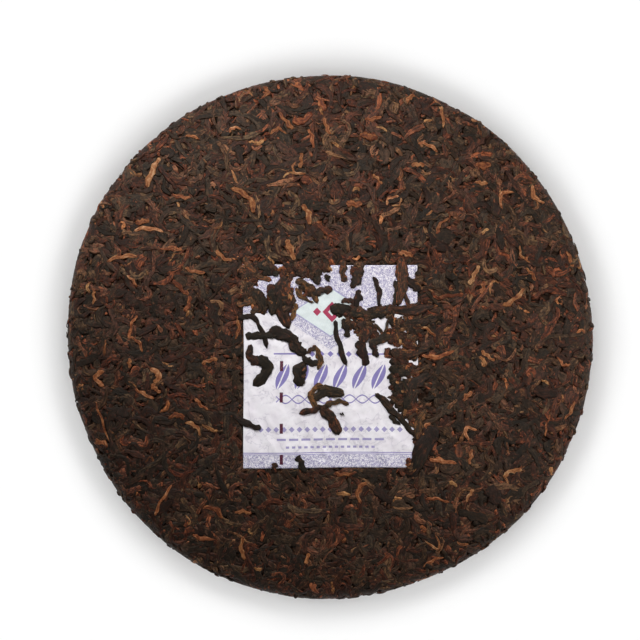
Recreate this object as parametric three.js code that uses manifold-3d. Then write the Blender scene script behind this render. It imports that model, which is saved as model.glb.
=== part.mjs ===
// A round cake of pressed dark tea: a domed disc with a rounded rim, a flat underside
// and the dimple that the knot of the pressing cloth leaves in the middle of it. Strips
// of rolled leaf stand out of the surface all over. A paper ticket lies in the top, held
// down by the leaves that were pressed over its edges and its upper half.
//
// +Z is up, +Y is towards the top edge of the ticket, and the origin is the middle of
// the face that the cake lies on. All lengths are in millimetres.
import * as THREE from "three";
import { mergeVertices } from "three/addons/utils/BufferGeometryUtils.js";
import Module from "manifold-3d";

const wasm = await Module();
wasm.setup();

// The cake
const CAKE_DIAMETER = 200; // across the leaves of the rim
const CAKE_HEIGHT = 24; // from the face it lies on to the highest leaf over the ticket
const LEAF_PROUD = 0.9; // how far a pressed leaf stands out of the core
const LEAF_SUNK = 0.35; // how deep the widest line of such a leaf lies in the core
const COVER_PROUD = 1.9; // how far the leaves over the ticket stand out of the core
const RIM_HEIGHT = 7.6; // of the widest line of the rim
const SHOULDER_RADIUS = 86; // where the dome turns down into the rim
const SHOULDER_DROP = 7.4; // of the dome, from the crown to the shoulder
const FOOT_RADIUS = 82; // where the rim turns into the underside
const UNDERSIDE_CUT = 0.3; // how much of the underside the board pressed flat
const DIMPLE_RADIUS = 26;
const DIMPLE_DEPTH = 8.5;
const OUTLINE_WAVE = 0.35; // how far the rim strays from a true circle
const SURFACE_WAVE = 0.45; // how far the surface strays from a true dome

// The leaves fused into the surface
const TOP_LEAVES = 120;
const UNDER_LEAVES = 110; // of which those on the flat of the underside are left out
const LEAF_LENGTH = [11, 21];
const LEAF_WIDTH = [2.6, 4.4];
const LEAF_BEND = 0.3; // the most that a strip bows, as a share of its length

// The ticket
const TICKET_WIDTH = 65.4;
const TICKET_HEIGHT = 76.4;
const TICKET_CENTRE = [0.5, -11.2];
const TICKET_THICKNESS = 0.5;
const TICKET_TOP = 0.35; // its upper face, above the core
const CLEARANCE = 0.3; // between the ticket and the leaves around it

const TEA = new THREE.MeshStandardMaterial({ color: 0x3f2e25, roughness: 0.72, metalness: 0 });
const PAPER = new THREE.MeshStandardMaterial({ color: 0xe2dbe2, roughness: 0.9, metalness: 0 });

// The same run of draws each time, from 0 to 1.
function seededDraws(seed) {
  let state = seed;
  return () => {
    state = (state * 1664525 + 1013904223) % 4294967296;
    return state / 4294967296;
  };
}

const between = ([low, high], share) => low + (high - low) * share;

// Half of the core's cross-section, from the crown over the rim to the middle of the
// dimple. A point's x is its radius and its y is its height.
const CORE_RADIUS = CAKE_DIAMETER / 2 - LEAF_PROUD - OUTLINE_WAVE;
const CORE_TOP = CAKE_HEIGHT - COVER_PROUD - SURFACE_WAVE;
const CORE_FOOT = -UNDERSIDE_CUT;
const SHOULDER_HEIGHT = CORE_TOP - SHOULDER_DROP;
const meridian = new THREE.Path()
  .moveTo(0, CORE_TOP)
  .bezierCurveTo(
    SHOULDER_RADIUS * 0.42, CORE_TOP,
    SHOULDER_RADIUS * 0.76, SHOULDER_HEIGHT + SHOULDER_DROP * 0.42,
    SHOULDER_RADIUS, SHOULDER_HEIGHT,
  )
  .bezierCurveTo(
    SHOULDER_RADIUS + 6.2, SHOULDER_HEIGHT - 1.9,
    CORE_RADIUS, RIM_HEIGHT + 5,
    CORE_RADIUS, RIM_HEIGHT,
  )
  .bezierCurveTo(
    CORE_RADIUS, RIM_HEIGHT - 4.2,
    FOOT_RADIUS + 8.5, CORE_FOOT,
    FOOT_RADIUS, CORE_FOOT,
  )
  .lineTo(DIMPLE_RADIUS, CORE_FOOT)
  .bezierCurveTo(
    DIMPLE_RADIUS * 0.66, CORE_FOOT,
    DIMPLE_RADIUS * 0.6, CORE_FOOT + DIMPLE_DEPTH,
    0, CORE_FOOT + DIMPLE_DEPTH,
  );
const MERIDIAN_LENGTH = meridian.getLength();
const [, RIM_LINE, FOOT_LINE, DIMPLE_LINE] = meridian.getCurveLengths();

// Each side is mapped by the distance along its surface from the middle, out to the
// widest line of the rim. Nothing stands out of its flat stretch, if it has one.
const CHARTS = {
  top: { reach: RIM_LINE, distance: (run) => run, flat: [Infinity, 0] },
  under: {
    reach: MERIDIAN_LENGTH - RIM_LINE,
    distance: (run) => MERIDIAN_LENGTH - run,
    flat: [MERIDIAN_LENGTH - DIMPLE_LINE, MERIDIAN_LENGTH - FOOT_LINE],
  },
};

// Slow swells of the surface, less on the underside, which a board pressed.
function swell(x, y, z) {
  const calm = THREE.MathUtils.smoothstep(z, 0, 12) * 0.8 + 0.2;
  const waves =
    Math.sin(x / 13 + 1.3) * Math.cos(y / 16 - 0.4) +
    0.6 * Math.sin((x - y) / 9 + z / 5 + 2.1) +
    0.4 * Math.cos((x + 1.7 * y) / 7.3);
  return (SURFACE_WAVE / 2) * calm * waves;
}

// The place on the cake that is x and y along the surface from the crown, or from the
// middle of the dimple, and stands out of the core by a height.
function onCake(side, x, y, height) {
  const chart = CHARTS[side];
  const run = Math.hypot(x, y);
  const angle = Math.atan2(y, x);
  const share = THREE.MathUtils.clamp(chart.distance(run) / MERIDIAN_LENGTH, 0, 1);
  const step = 0.0005;
  const here = meridian.getPoint(share);
  const before = meridian.getPoint(Math.max(share - step, 0));
  const after = meridian.getPoint(Math.min(share + step, 1));
  const along = after.sub(before).normalize();
  const flat = new THREE.Vector3(here.x * Math.cos(angle), here.x * Math.sin(angle), here.y);
  const out = height + swell(flat.x, flat.y, flat.z);
  const lobes = Math.cos(2 * angle + 1) + Math.cos(3 * angle - 0.3) + Math.cos(4 * angle + 2.3);
  const radius = here.x * (1 + ((OUTLINE_WAVE / 3) * lobes) / CORE_RADIUS) - along.y * out;
  return new THREE.Vector3(radius * Math.cos(angle), radius * Math.sin(angle), here.y + along.x * out);
}

// A three.js geometry as a solid, with each of its points moved by a function.
function solidOf(geometry, move) {
  const bare = geometry.clone();
  bare.deleteAttribute("normal");
  bare.deleteAttribute("uv");
  const merged = mergeVertices(bare, 1e-4);
  const position = merged.getAttribute("position");
  const point = new THREE.Vector3();
  for (let i = 0; i < position.count; i += 1) {
    point.fromBufferAttribute(position, i);
    const moved = move(point);
    position.setXYZ(i, moved.x, moved.y, moved.z);
  }
  const triVerts = new Uint32Array(merged.index.array);
  const made = () => new wasm.Manifold(new wasm.Mesh({ numProp: 3, vertProperties: position.array, triVerts }));
  if (made().volume() < 0) {
    // The move mirrored the shape, so each face is turned round again.
    for (let i = 0; i < triVerts.length; i += 3) {
      [triVerts[i + 1], triVerts[i + 2]] = [triVerts[i + 2], triVerts[i + 1]];
    }
  }
  return made();
}

// The largest of the bodies in a solid: it fills sealed hollows and drops loose scraps.
function mainBody(solid) {
  const bodies = solid.decompose();
  return bodies.reduce((best, body) => (body.volume() > best.volume() ? body : best));
}

function meshOf(name, solid, material) {
  const { numProp, numVert, vertProperties, triVerts } = solid.getMesh();
  const position = new Float32Array(numVert * 3);
  for (let i = 0; i < numVert; i += 1) {
    position.set(vertProperties.subarray(i * numProp, i * numProp + 3), i * 3);
  }
  const geometry = new THREE.BufferGeometry()
    .setAttribute("position", new THREE.BufferAttribute(position, 3))
    .setIndex(new THREE.BufferAttribute(triVerts, 1));
  const mesh = new THREE.Mesh(geometry, material);
  mesh.name = name;
  return mesh;
}

// The core: a lathed disc, finely ringed only where its section curves.
const CORE_SIDES = 60;
const CORE_RINGS = { dome: 6, rim: 4, foot: 4, flat: 3, dimple: 4 };

function coreSolid() {
  const profile = [];
  const rings = Object.values(CORE_RINGS);
  meridian.curves.forEach((curve, section) => {
    for (let i = 0; i < rings[section]; i += 1) {
      profile.push(curve.getPointAt(i / rings[section]));
    }
  });
  profile.push(new THREE.Vector2(0, CORE_FOOT + DIMPLE_DEPTH));
  return solidOf(new THREE.LatheGeometry(profile, CORE_SIDES), (point) => {
    const run = runOfProfile(Math.hypot(point.x, point.z), point.y);
    const angle = Math.atan2(-point.z, point.x);
    return onCake("top", run * Math.cos(angle), run * Math.sin(angle), 0);
  });
}

// How far a point of the cross-section lies from the crown, along the surface.
const SECTION_STEPS = 4000;
const sectionPoints = meridian.getSpacedPoints(SECTION_STEPS);

function runOfProfile(radius, height) {
  let nearest = 0;
  let least = Infinity;
  sectionPoints.forEach((point, i) => {
    const away = Math.hypot(point.x - radius, point.y - height);
    if (away < least) {
      least = away;
      nearest = i;
    }
  });
  return (nearest / SECTION_STEPS) * MERIDIAN_LENGTH;
}

// A strip of rolled leaf: a four-sided spindle in a few stations, bent along a curve on
// the surface. Its widest line lies at a lift from the core, with a ridge standing up
// from it and a keel sinking below it.
const STRIP_BLUNTNESS = 0.55; // 1 gives pointed ends, and less gives rounder ones

function stripSolid(side, { from, via, to, width, ridge, sink, lift, skew, stations }) {
  const start = new THREE.Vector2(...from);
  const end = new THREE.Vector2(...to);
  const pull = new THREE.Vector2(...via).multiplyScalar(2).addScaledVector(start, -0.5).addScaledVector(end, -0.5);
  const line = new THREE.QuadraticBezierCurve(start, pull, end);
  return solidOf(new THREE.SphereGeometry(1, 4, stations), (point) => {
    const share = (1 + point.y) / 2;
    const centre = line.getPoint(share);
    const heading = line.getTangent(share);
    const round = Math.hypot(point.x, point.z);
    const girth = round > 0.01 ? round ** STRIP_BLUNTNESS / round : 0;
    const across = (point.x * girth + skew * Math.max(point.z, 0)) * (width / 2);
    const rise = point.z > 0 ? ridge : sink;
    return onCake(
      side,
      centre.x - heading.y * across,
      centre.y + heading.x * across,
      lift + point.z * girth * rise,
    );
  });
}

// Strips spread evenly over one side, each turned and bent at random.
const KEEL = 0.85; // how deep a strip reaches below its widest line

function scatteredStrips(side, count, draw) {
  const strips = [];
  const goldenAngle = Math.PI * (3 - Math.sqrt(5));
  const { reach, flat } = CHARTS[side];
  for (let i = 0; i < count; i += 1) {
    const run = reach * Math.sqrt((i + 0.5) / count);
    if (run > flat[0] && run < flat[1]) {
      continue;
    }
    const angle = i * goldenAngle + draw() * 0.3;
    const length = between(LEAF_LENGTH, draw() ** 1.4);
    const turn = draw() * Math.PI * 2;
    const bow = (draw() * 2 - 1) * LEAF_BEND * length;
    const centre = [run * Math.cos(angle), run * Math.sin(angle)];
    const half = [(Math.cos(turn) * length) / 2, (Math.sin(turn) * length) / 2];
    strips.push({
      from: [centre[0] - half[0], centre[1] - half[1]],
      via: [centre[0] - (half[1] / length) * 2 * bow, centre[1] + (half[0] / length) * 2 * bow],
      to: [centre[0] + half[0], centre[1] + half[1]],
      width: between(LEAF_WIDTH, draw()),
      ridge: LEAF_PROUD + LEAF_SUNK + draw() * 0.3,
      sink: KEEL,
      lift: -LEAF_SUNK,
      skew: draw() * 0.6 - 0.3,
      stations: 3,
    });
  }
  return strips;
}

// The strips that were pressed over the ticket, where each one starts, bends and ends,
// seen from above with the middle of the cake at [0, 0]. These grow out of the cake.
const ROOTED_STRIPS = [
  // The covered upper left corner
  { from: [-37, 24], via: [-29, 21], to: [-22, 23], width: 5 },
  { from: [-30, 31], via: [-25, 23], to: [-24, 14], width: 5 },
  { from: [-36, 15], via: [-28, 14.5], to: [-21, 18], width: 5 },
  { from: [-20, 31], via: [-18, 22], to: [-14, 8], width: 5.5 },
  { from: [-8, 31], via: [-10, 25], to: [-15, 21], width: 5 },
  { from: [3, 30], via: [-1, 25.5], to: [-6, 24], width: 4.5 },
  // The arch and the chain of leaf that reach in from the left edge
  { from: [-34.5, 5], via: [-27.8, 5.8], to: [-23.5, -4.4], width: 2.2 },
  { from: [-31.6, 1.1], via: [-26, 0.6], to: [-18.5, 2], width: 2.4 },
  { from: [-20.5, 2.4], via: [-14.5, -1.2], to: [-8.4, -6], width: 4.4 },
  { from: [-10.5, -5.2], via: [-5, -6.2], to: [-6.2, -12], width: 2.6 },
  { from: [-7.5, -9.5], via: [-11.4, -12.6], to: [-9.8, -18.2], width: 4.6 },
  // The brown leaves under the middle of the top edge
  { from: [5, 31], via: [6.5, 25], to: [10, 18.5], width: 3 },
  { from: [-14, 22], via: [-6.2, 19.6], to: [1.4, 16.6], width: 3 },
  { from: [-12.2, 20], via: [-8.6, 15.2], to: [-3.6, 12.4], width: 2.6 },
  // The dark bar across the right half, and what hangs from it
  { from: [38, 11.6], via: [24, 9.6], to: [10, 10.6], width: 4.6 },
  { from: [14, 10.4], via: [6, 11.4], to: [-0.6, 8.4], width: 4.6 },
  { from: [2, 9], via: [3.4, -0.6], to: [6.3, -10.8], width: 2.2 },
  { from: [5, 9], via: [6.2, 3.6], to: [6.9, -0.2], width: 2.2 },
  { from: [11, 11], via: [11.4, 1.4], to: [13, -11], width: 4.6 },
  { from: [19, 24], via: [18.6, 17.6], to: [17.8, 10], width: 2 },
  { from: [11.8, 17.4], via: [10.4, 14.6], to: [9.6, 10], width: 2.8 },
  { from: [27.8, 31], via: [27.4, 20.4], to: [27.8, 9], width: 3 },
  { from: [38, 14], via: [33, 15], to: [29.4, 22], width: 2.2 },
  // The covered right edge
  { from: [38, -1], via: [26, -1], to: [14.4, -4], width: 3.6 },
  { from: [37, 6], via: [29, 4], to: [24, -4], width: 5.5 },
  { from: [38, -8], via: [30, -6.5], to: [23.4, -9], width: 5.5 },
  { from: [37, -13], via: [29, -13], to: [24.2, -19], width: 6 },
  { from: [38, -22], via: [31, -19], to: [25.6, -24], width: 5.5 },
  { from: [38, -35.5], via: [30.5, -33.6], to: [17.2, -21.4], width: 2.8 },
  { from: [40, -30], via: [36, -38], to: [29, -51.5], width: 6.5 },
  // Single ends that reach in over the left and the bottom edge
  { from: [-36, -29.6], via: [-29.6, -33], to: [-25.3, -33.8], width: 2.2 },
  { from: [-9.2, -52], via: [-10.4, -47.2], to: [-12.8, -45], width: 2.8 },
];

// Groups of strips that lie on the paper alone, each a piece of its own.
const LOOSE_GROUPS = {
  left_leaf_group: [
    { from: [-29.4, -3], via: [-29.2, -8], to: [-25, -10.6], width: 3 },
    { from: [-27.6, -7.6], via: [-24, -12], to: [-29.2, -18.4], width: 3.6 },
  ],
  middle_leaf_group: [
    { from: [-3.4, -19.2], via: [-6.4, -21.4], to: [-4.4, -27.4], width: 2.7 },
    { from: [-6.6, -24.2], via: [-1, -20.8], to: [6, -22.4], width: 3.7 },
    { from: [-11.3, -29], via: [-5, -27], to: [0, -25.8], width: 2.5 },
    { from: [-2, -26.6], via: [2.4, -24.2], to: [7.5, -25.6], width: 2.5 },
    { from: [-4, -27], via: [1, -31], to: [3.6, -37], width: 4.2 },
  ],
};

const COVER_LIFT = TICKET_TOP + CLEARANCE + 0.1;
const OVER_TICKET = {
  ridge: COVER_PROUD - COVER_LIFT,
  sink: 1.4,
  lift: COVER_LIFT,
  skew: 0.15,
  stations: 4,
};

function joinedStrips(strips, form) {
  return strips
    .map((strip) => stripSolid("top", { ...form, ...strip }))
    .reduce((whole, strip) => whole.add(strip));
}

// The paper sheet, as high above the core as it lies, or grown on all sides.
const TICKET_COLUMNS = 9;
const TICKET_ROWS = 10;

function ticketSolid(grown) {
  const sheet = new THREE.BoxGeometry(1, 1, 1, TICKET_COLUMNS, TICKET_ROWS, 1);
  const middle = TICKET_TOP - TICKET_THICKNESS / 2;
  return solidOf(sheet, (point) =>
    onCake(
      "top",
      TICKET_CENTRE[0] + point.x * (TICKET_WIDTH + 2 * grown),
      TICKET_CENTRE[1] + point.y * (TICKET_HEIGHT + 2 * grown),
      middle + point.z * (TICKET_THICKNESS + 2 * grown),
    ),
  );
}

// True if a strip would lie over the ticket or run out over its edge.
function crossesTicket({ from, via, to, width }) {
  const room = width / 2 + CLEARANCE;
  return [from, via, to].some(
    ([x, y]) =>
      Math.abs(x - TICKET_CENTRE[0]) < TICKET_WIDTH / 2 + room &&
      Math.abs(y - TICKET_CENTRE[1]) < TICKET_HEIGHT / 2 + room,
  );
}

// All that lies above the face that the cake stands on, which is cut flat by it.
function aboveFloor(solid) {
  const depth = 10;
  const slab = new THREE.BoxGeometry(CAKE_DIAMETER * 2, CAKE_DIAMETER * 2, depth);
  return solid.subtract(solidOf(slab, (point) => point.setZ(point.z - depth / 2)));
}

function cakeSolid() {
  const draw = seededDraws(7);
  const scattered = [
    ...scatteredStrips("top", TOP_LEAVES, draw)
      .filter((strip) => !crossesTicket(strip))
      .map((strip) => stripSolid("top", strip)),
    ...scatteredStrips("under", UNDER_LEAVES, draw).map((strip) => stripSolid("under", strip)),
  ];
  const core = scattered.reduce((whole, strip) => whole.add(strip), coreSolid());
  const covered = core.add(joinedStrips(ROOTED_STRIPS, OVER_TICKET));
  return mainBody(aboveFloor(covered.subtract(ticketSolid(CLEARANCE))));
}

const cake = new THREE.Group();
cake.name = "pressed_tea_cake";
const body = cakeSolid();
cake.add(meshOf("cake", body, TEA));
cake.add(meshOf("ticket", ticketSolid(0), PAPER));
for (const [name, strips] of Object.entries(LOOSE_GROUPS)) {
  const group = joinedStrips(strips, OVER_TICKET).subtract(ticketSolid(CLEARANCE)).subtract(body);
  cake.add(meshOf(name, mainBody(group), TEA));
}

export default cake;
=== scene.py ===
"""The looks of a round cake of pressed dark tea with a paper ticket in its top.

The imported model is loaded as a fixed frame, and every piece here lies on the surface of
its cake. The classes hold their sizes in millimetres, and meshes are made in metres.
"""

import logging
import math
from collections.abc import Sequence
from dataclasses import dataclass, replace
from enum import Enum

import bmesh
import bpy
import numpy as np
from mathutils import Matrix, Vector, noise


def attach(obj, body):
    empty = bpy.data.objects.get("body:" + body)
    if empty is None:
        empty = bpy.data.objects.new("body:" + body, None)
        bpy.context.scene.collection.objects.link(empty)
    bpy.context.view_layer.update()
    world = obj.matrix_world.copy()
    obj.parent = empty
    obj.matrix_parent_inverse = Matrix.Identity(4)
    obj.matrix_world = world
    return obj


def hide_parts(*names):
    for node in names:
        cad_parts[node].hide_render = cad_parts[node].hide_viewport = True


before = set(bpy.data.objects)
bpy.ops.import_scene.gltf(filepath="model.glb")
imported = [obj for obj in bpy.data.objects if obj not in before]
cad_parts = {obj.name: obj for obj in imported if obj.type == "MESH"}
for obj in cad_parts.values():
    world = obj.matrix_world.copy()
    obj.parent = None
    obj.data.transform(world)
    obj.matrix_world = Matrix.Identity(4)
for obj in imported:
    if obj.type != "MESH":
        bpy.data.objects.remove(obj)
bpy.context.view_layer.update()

MM = 0.001
TURN = 2 * math.pi
GOLDEN_ANGLE = math.pi * (3 - math.sqrt(5))
TINY = 1e-9

log = logging.getLogger("tea_cake")

Pair = tuple[float, float]
Triple = tuple[float, float, float]
Colour = tuple[float, float, float, float]
Stops = tuple[tuple[float, Colour], ...]
Arrays = tuple[np.ndarray, np.ndarray, np.ndarray]

WHITE: Colour = (1.0, 1.0, 1.0, 1.0)


class Side(Enum):
    """The two sides of the cake, each mapped from its own middle and seeded by its value."""

    TOP = 1
    UNDER = 2


class Blend(Enum):
    """How one colour is laid over another, by Blender's names."""

    COVER = "MIX"
    TINT = "MULTIPLY"


class Lit(Enum):
    """What a lamp lights, by Blender's names for how the floor is linked to it."""

    ALL_BUT_FLOOR = "EXCLUDE"
    FLOOR_ALONE = "INCLUDE"


def smooth_step(low: float, high: float, value: np.ndarray) -> np.ndarray:
    """A smooth rise from 0 at low to 1 at high."""
    share = np.clip((value - low) / (high - low), 0.0, 1.0)
    return share * share * (3 - 2 * share)


def paint(red: int, green: int, blue: int) -> Colour:
    """Turns a screen colour into the linear colour that a shader takes.

    Args:
        red: The red channel, from 0 to 255.
        green: The green channel.
        blue: The blue channel.

    Returns:
        The linear colour.
    """
    channels = (value / 255 for value in (red, green, blue))
    linear = (c / 12.92 if c <= 0.04045 else ((c + 0.055) / 1.055) ** 2.4 for c in channels)
    return (*linear, 1.0)


@dataclass
class CakeSurface:
    """The pressed surface of the cake, mapped by distances along it.

    A point is given by where it lies on one side, as x and y along the surface from the
    middle of that side, and by how far it stands out of the mean level of the leaves. The
    handles bend the curves of the cross-section. Those of the crown, the flat and the
    dimple are shares of the curve's own size, and the others are millimetres.
    """

    diameter: float = 200.0
    height: float = 24.0
    leaf_proud: float = 0.9
    cover_proud: float = 1.9
    rim_height: float = 7.6
    shoulder_radius: float = 86.0
    shoulder_drop: float = 7.4
    foot_radius: float = 82.0
    underside_cut: float = 0.3
    underside_inset: float = 1.2
    inset_fades: Pair = (14.0, 9.0)
    dimple_radius: float = 26.0
    dimple_depth: float = 8.5
    crown_handles: Pair = (0.42, 0.76)
    shoulder_handle: Pair = (6.2, 1.9)
    rim_handles: Pair = (5.0, 4.2)
    foot_handle: float = 8.5
    flat_handles: Pair = (0.67, 0.33)
    dimple_handles: Pair = (0.66, 0.6)
    outline_wave: float = 0.35
    outline_lobes: tuple[Pair, ...] = ((2, 1.0), (3, -0.3), (4, 2.3))
    surface_wave: float = 0.45
    calm_below: float = 12.0
    calmest: float = 0.2
    floor_softness: float = 0.5
    leaf_level: float = 0.5
    samples: int = 400

    def __post_init__(self) -> None:
        """Works out the cross-section from the crown to the middle of the dimple."""
        self.core_radius = self.diameter / 2 - self.leaf_proud - self.outline_wave
        self.core_top = self.height - self.cover_proud - self.surface_wave
        curves = self._curves()
        shares = np.linspace(0, 1, self.samples)
        sections = [self._bezier(np.array(curve, float), shares) for curve in curves]
        points = np.concatenate([sections[0]] + [section[1:] for section in sections[1:]])
        steps = np.hypot(*np.diff(points, axis=0).T)
        self.runs = np.concatenate([[0.0], np.cumsum(steps)])
        self.length = float(self.runs[-1])
        self.points = points
        self.slopes = np.gradient(points, self.runs, axis=0)
        ends = [(self.samples - 1) * (i + 1) for i in range(len(curves))]
        _, self.rim_line, self.foot_line, self.dimple_line, _ = (self.runs[i] for i in ends)

    def _curves(self) -> list[list[Pair]]:
        """Draws the cross-section as five curves.

        Returns:
            The four handles of each curve, as (radius, level).
        """
        top, drop = self.core_top, self.shoulder_drop
        rim, widest = self.core_radius, self.rim_height
        foot, hollow = -self.underside_cut, self.dimple_depth - self.underside_cut
        edge, sole, dimple = self.shoulder_radius, self.foot_radius, self.dimple_radius
        shoulder = top - drop
        inner, outer = self.crown_handles
        out, down = self.shoulder_handle
        above, below = self.rim_handles
        far, near = self.flat_handles
        lip, deep = self.dimple_handles
        return [
            [(0, top), (edge * inner, top), (edge * outer, shoulder + drop * inner),
             (edge, shoulder)],
            [(edge, shoulder), (edge + out, shoulder - down), (rim, widest + above), (rim, widest)],
            [(rim, widest), (rim, widest - below), (sole + self.foot_handle, foot), (sole, foot)],
            [(sole, foot), (sole * far + dimple * near, foot), (sole * near + dimple * far, foot),
             (dimple, foot)],
            [(dimple, foot), (dimple * lip, foot), (dimple * deep, hollow), (0, hollow)],
        ]

    @staticmethod
    def _bezier(handles: np.ndarray, shares: np.ndarray) -> np.ndarray:
        """Follows a cubic curve.

        Args:
            handles: Its four handles.
            shares: Where points are wanted, from 0 at its start to 1 at its end.

        Returns:
            The points.
        """
        t = shares[:, None]
        weights = ((1 - t) ** 3, 3 * (1 - t) ** 2 * t, 3 * (1 - t) * t**2, t**3)
        return sum(weight * handle for weight, handle in zip(weights, handles))

    def reach(self, side: Side) -> float:
        """How far a side's map goes, from its middle to the widest line of the rim."""
        return self.rim_line if side is Side.TOP else self.length - self.rim_line

    def unrolled(self, plan: np.ndarray) -> np.ndarray:
        """Finds points that are seen from above on the top's map.

        Args:
            plan: The points, with a last axis of two.

        Returns:
            Their places on the map.
        """
        radius = np.hypot(plan[..., 0], plan[..., 1])
        upper = self.runs <= self.rim_line
        run = np.interp(radius, self.points[upper, 0], self.runs[upper])
        return plan * (run / np.maximum(radius, TINY))[..., None]

    def _swell(self, x: np.ndarray, y: np.ndarray, z: np.ndarray) -> np.ndarray:
        """Works out the slow swells of the surface, which are less on the underside.

        Args:
            x: The place in millimetres, towards +X.
            y: The same towards +Y.
            z: The same upwards.

        Returns:
            How far the surface swells out.
        """
        calm = smooth_step(0, self.calm_below, z) * (1 - self.calmest) + self.calmest
        crossed = np.sin(x / 13 + 1.3) * np.cos(y / 16 - 0.4)
        slanted = np.sin((x - y) / 9 + z / 5 + 2.1)
        steep = np.cos((x + 1.7 * y) / 7.3)
        return self.surface_wave / 2 * calm * (crossed + 0.6 * slanted + 0.4 * steep)

    def _inset(self, run: np.ndarray) -> np.ndarray:
        """Works out how far the underside is pressed in, so that its leaves lie on the floor.

        Args:
            run: Distances along the cross-section.

        Returns:
            The inset at each of them.
        """
        before, after = self.inset_fades
        onto_flat = smooth_step(self.foot_line - before, self.foot_line, run)
        off_flat = 1 - smooth_step(self.dimple_line, self.dimple_line + after, run)
        return self.underside_inset * onto_flat * off_flat

    def place(self, side: Side, x: np.ndarray, y: np.ndarray, height: np.ndarray) -> np.ndarray:
        """Finds points on the cake.

        Args:
            side: The side whose map is used.
            x: Distance along the surface from the side's middle, towards +X.
            y: The same towards +Y.
            height: How far each point stands out of the leaves' mean level.

        Returns:
            The points in millimetres, with a last axis of three.
        """
        away = np.hypot(x, y)
        angle = np.arctan2(y, x)
        run = np.clip(away if side is Side.TOP else self.length - away, 0, self.length)
        radius, level = (np.interp(run, self.runs, part) for part in self.points.T)
        out_x, out_z = (np.interp(run, self.runs, part) for part in self.slopes.T)
        scale = np.maximum(np.hypot(out_x, out_z), TINY)
        out_x, out_z = out_x / scale, out_z / scale
        out = height + self.leaf_level - self._inset(run)
        out = out + self._swell(radius * np.cos(angle), radius * np.sin(angle), level)
        lobes = sum(np.cos(count * angle + turn) for count, turn in self.outline_lobes)
        radius = radius * (1 + self.outline_wave * lobes / self.core_radius) - out_z * out
        level = level + out_x * out
        soft = self.floor_softness
        level = np.where(level < soft, soft * np.exp(np.minimum(level / soft - 1, 0)), level)
        return np.stack([radius * np.cos(angle), radius * np.sin(angle), level], axis=-1)


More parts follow.
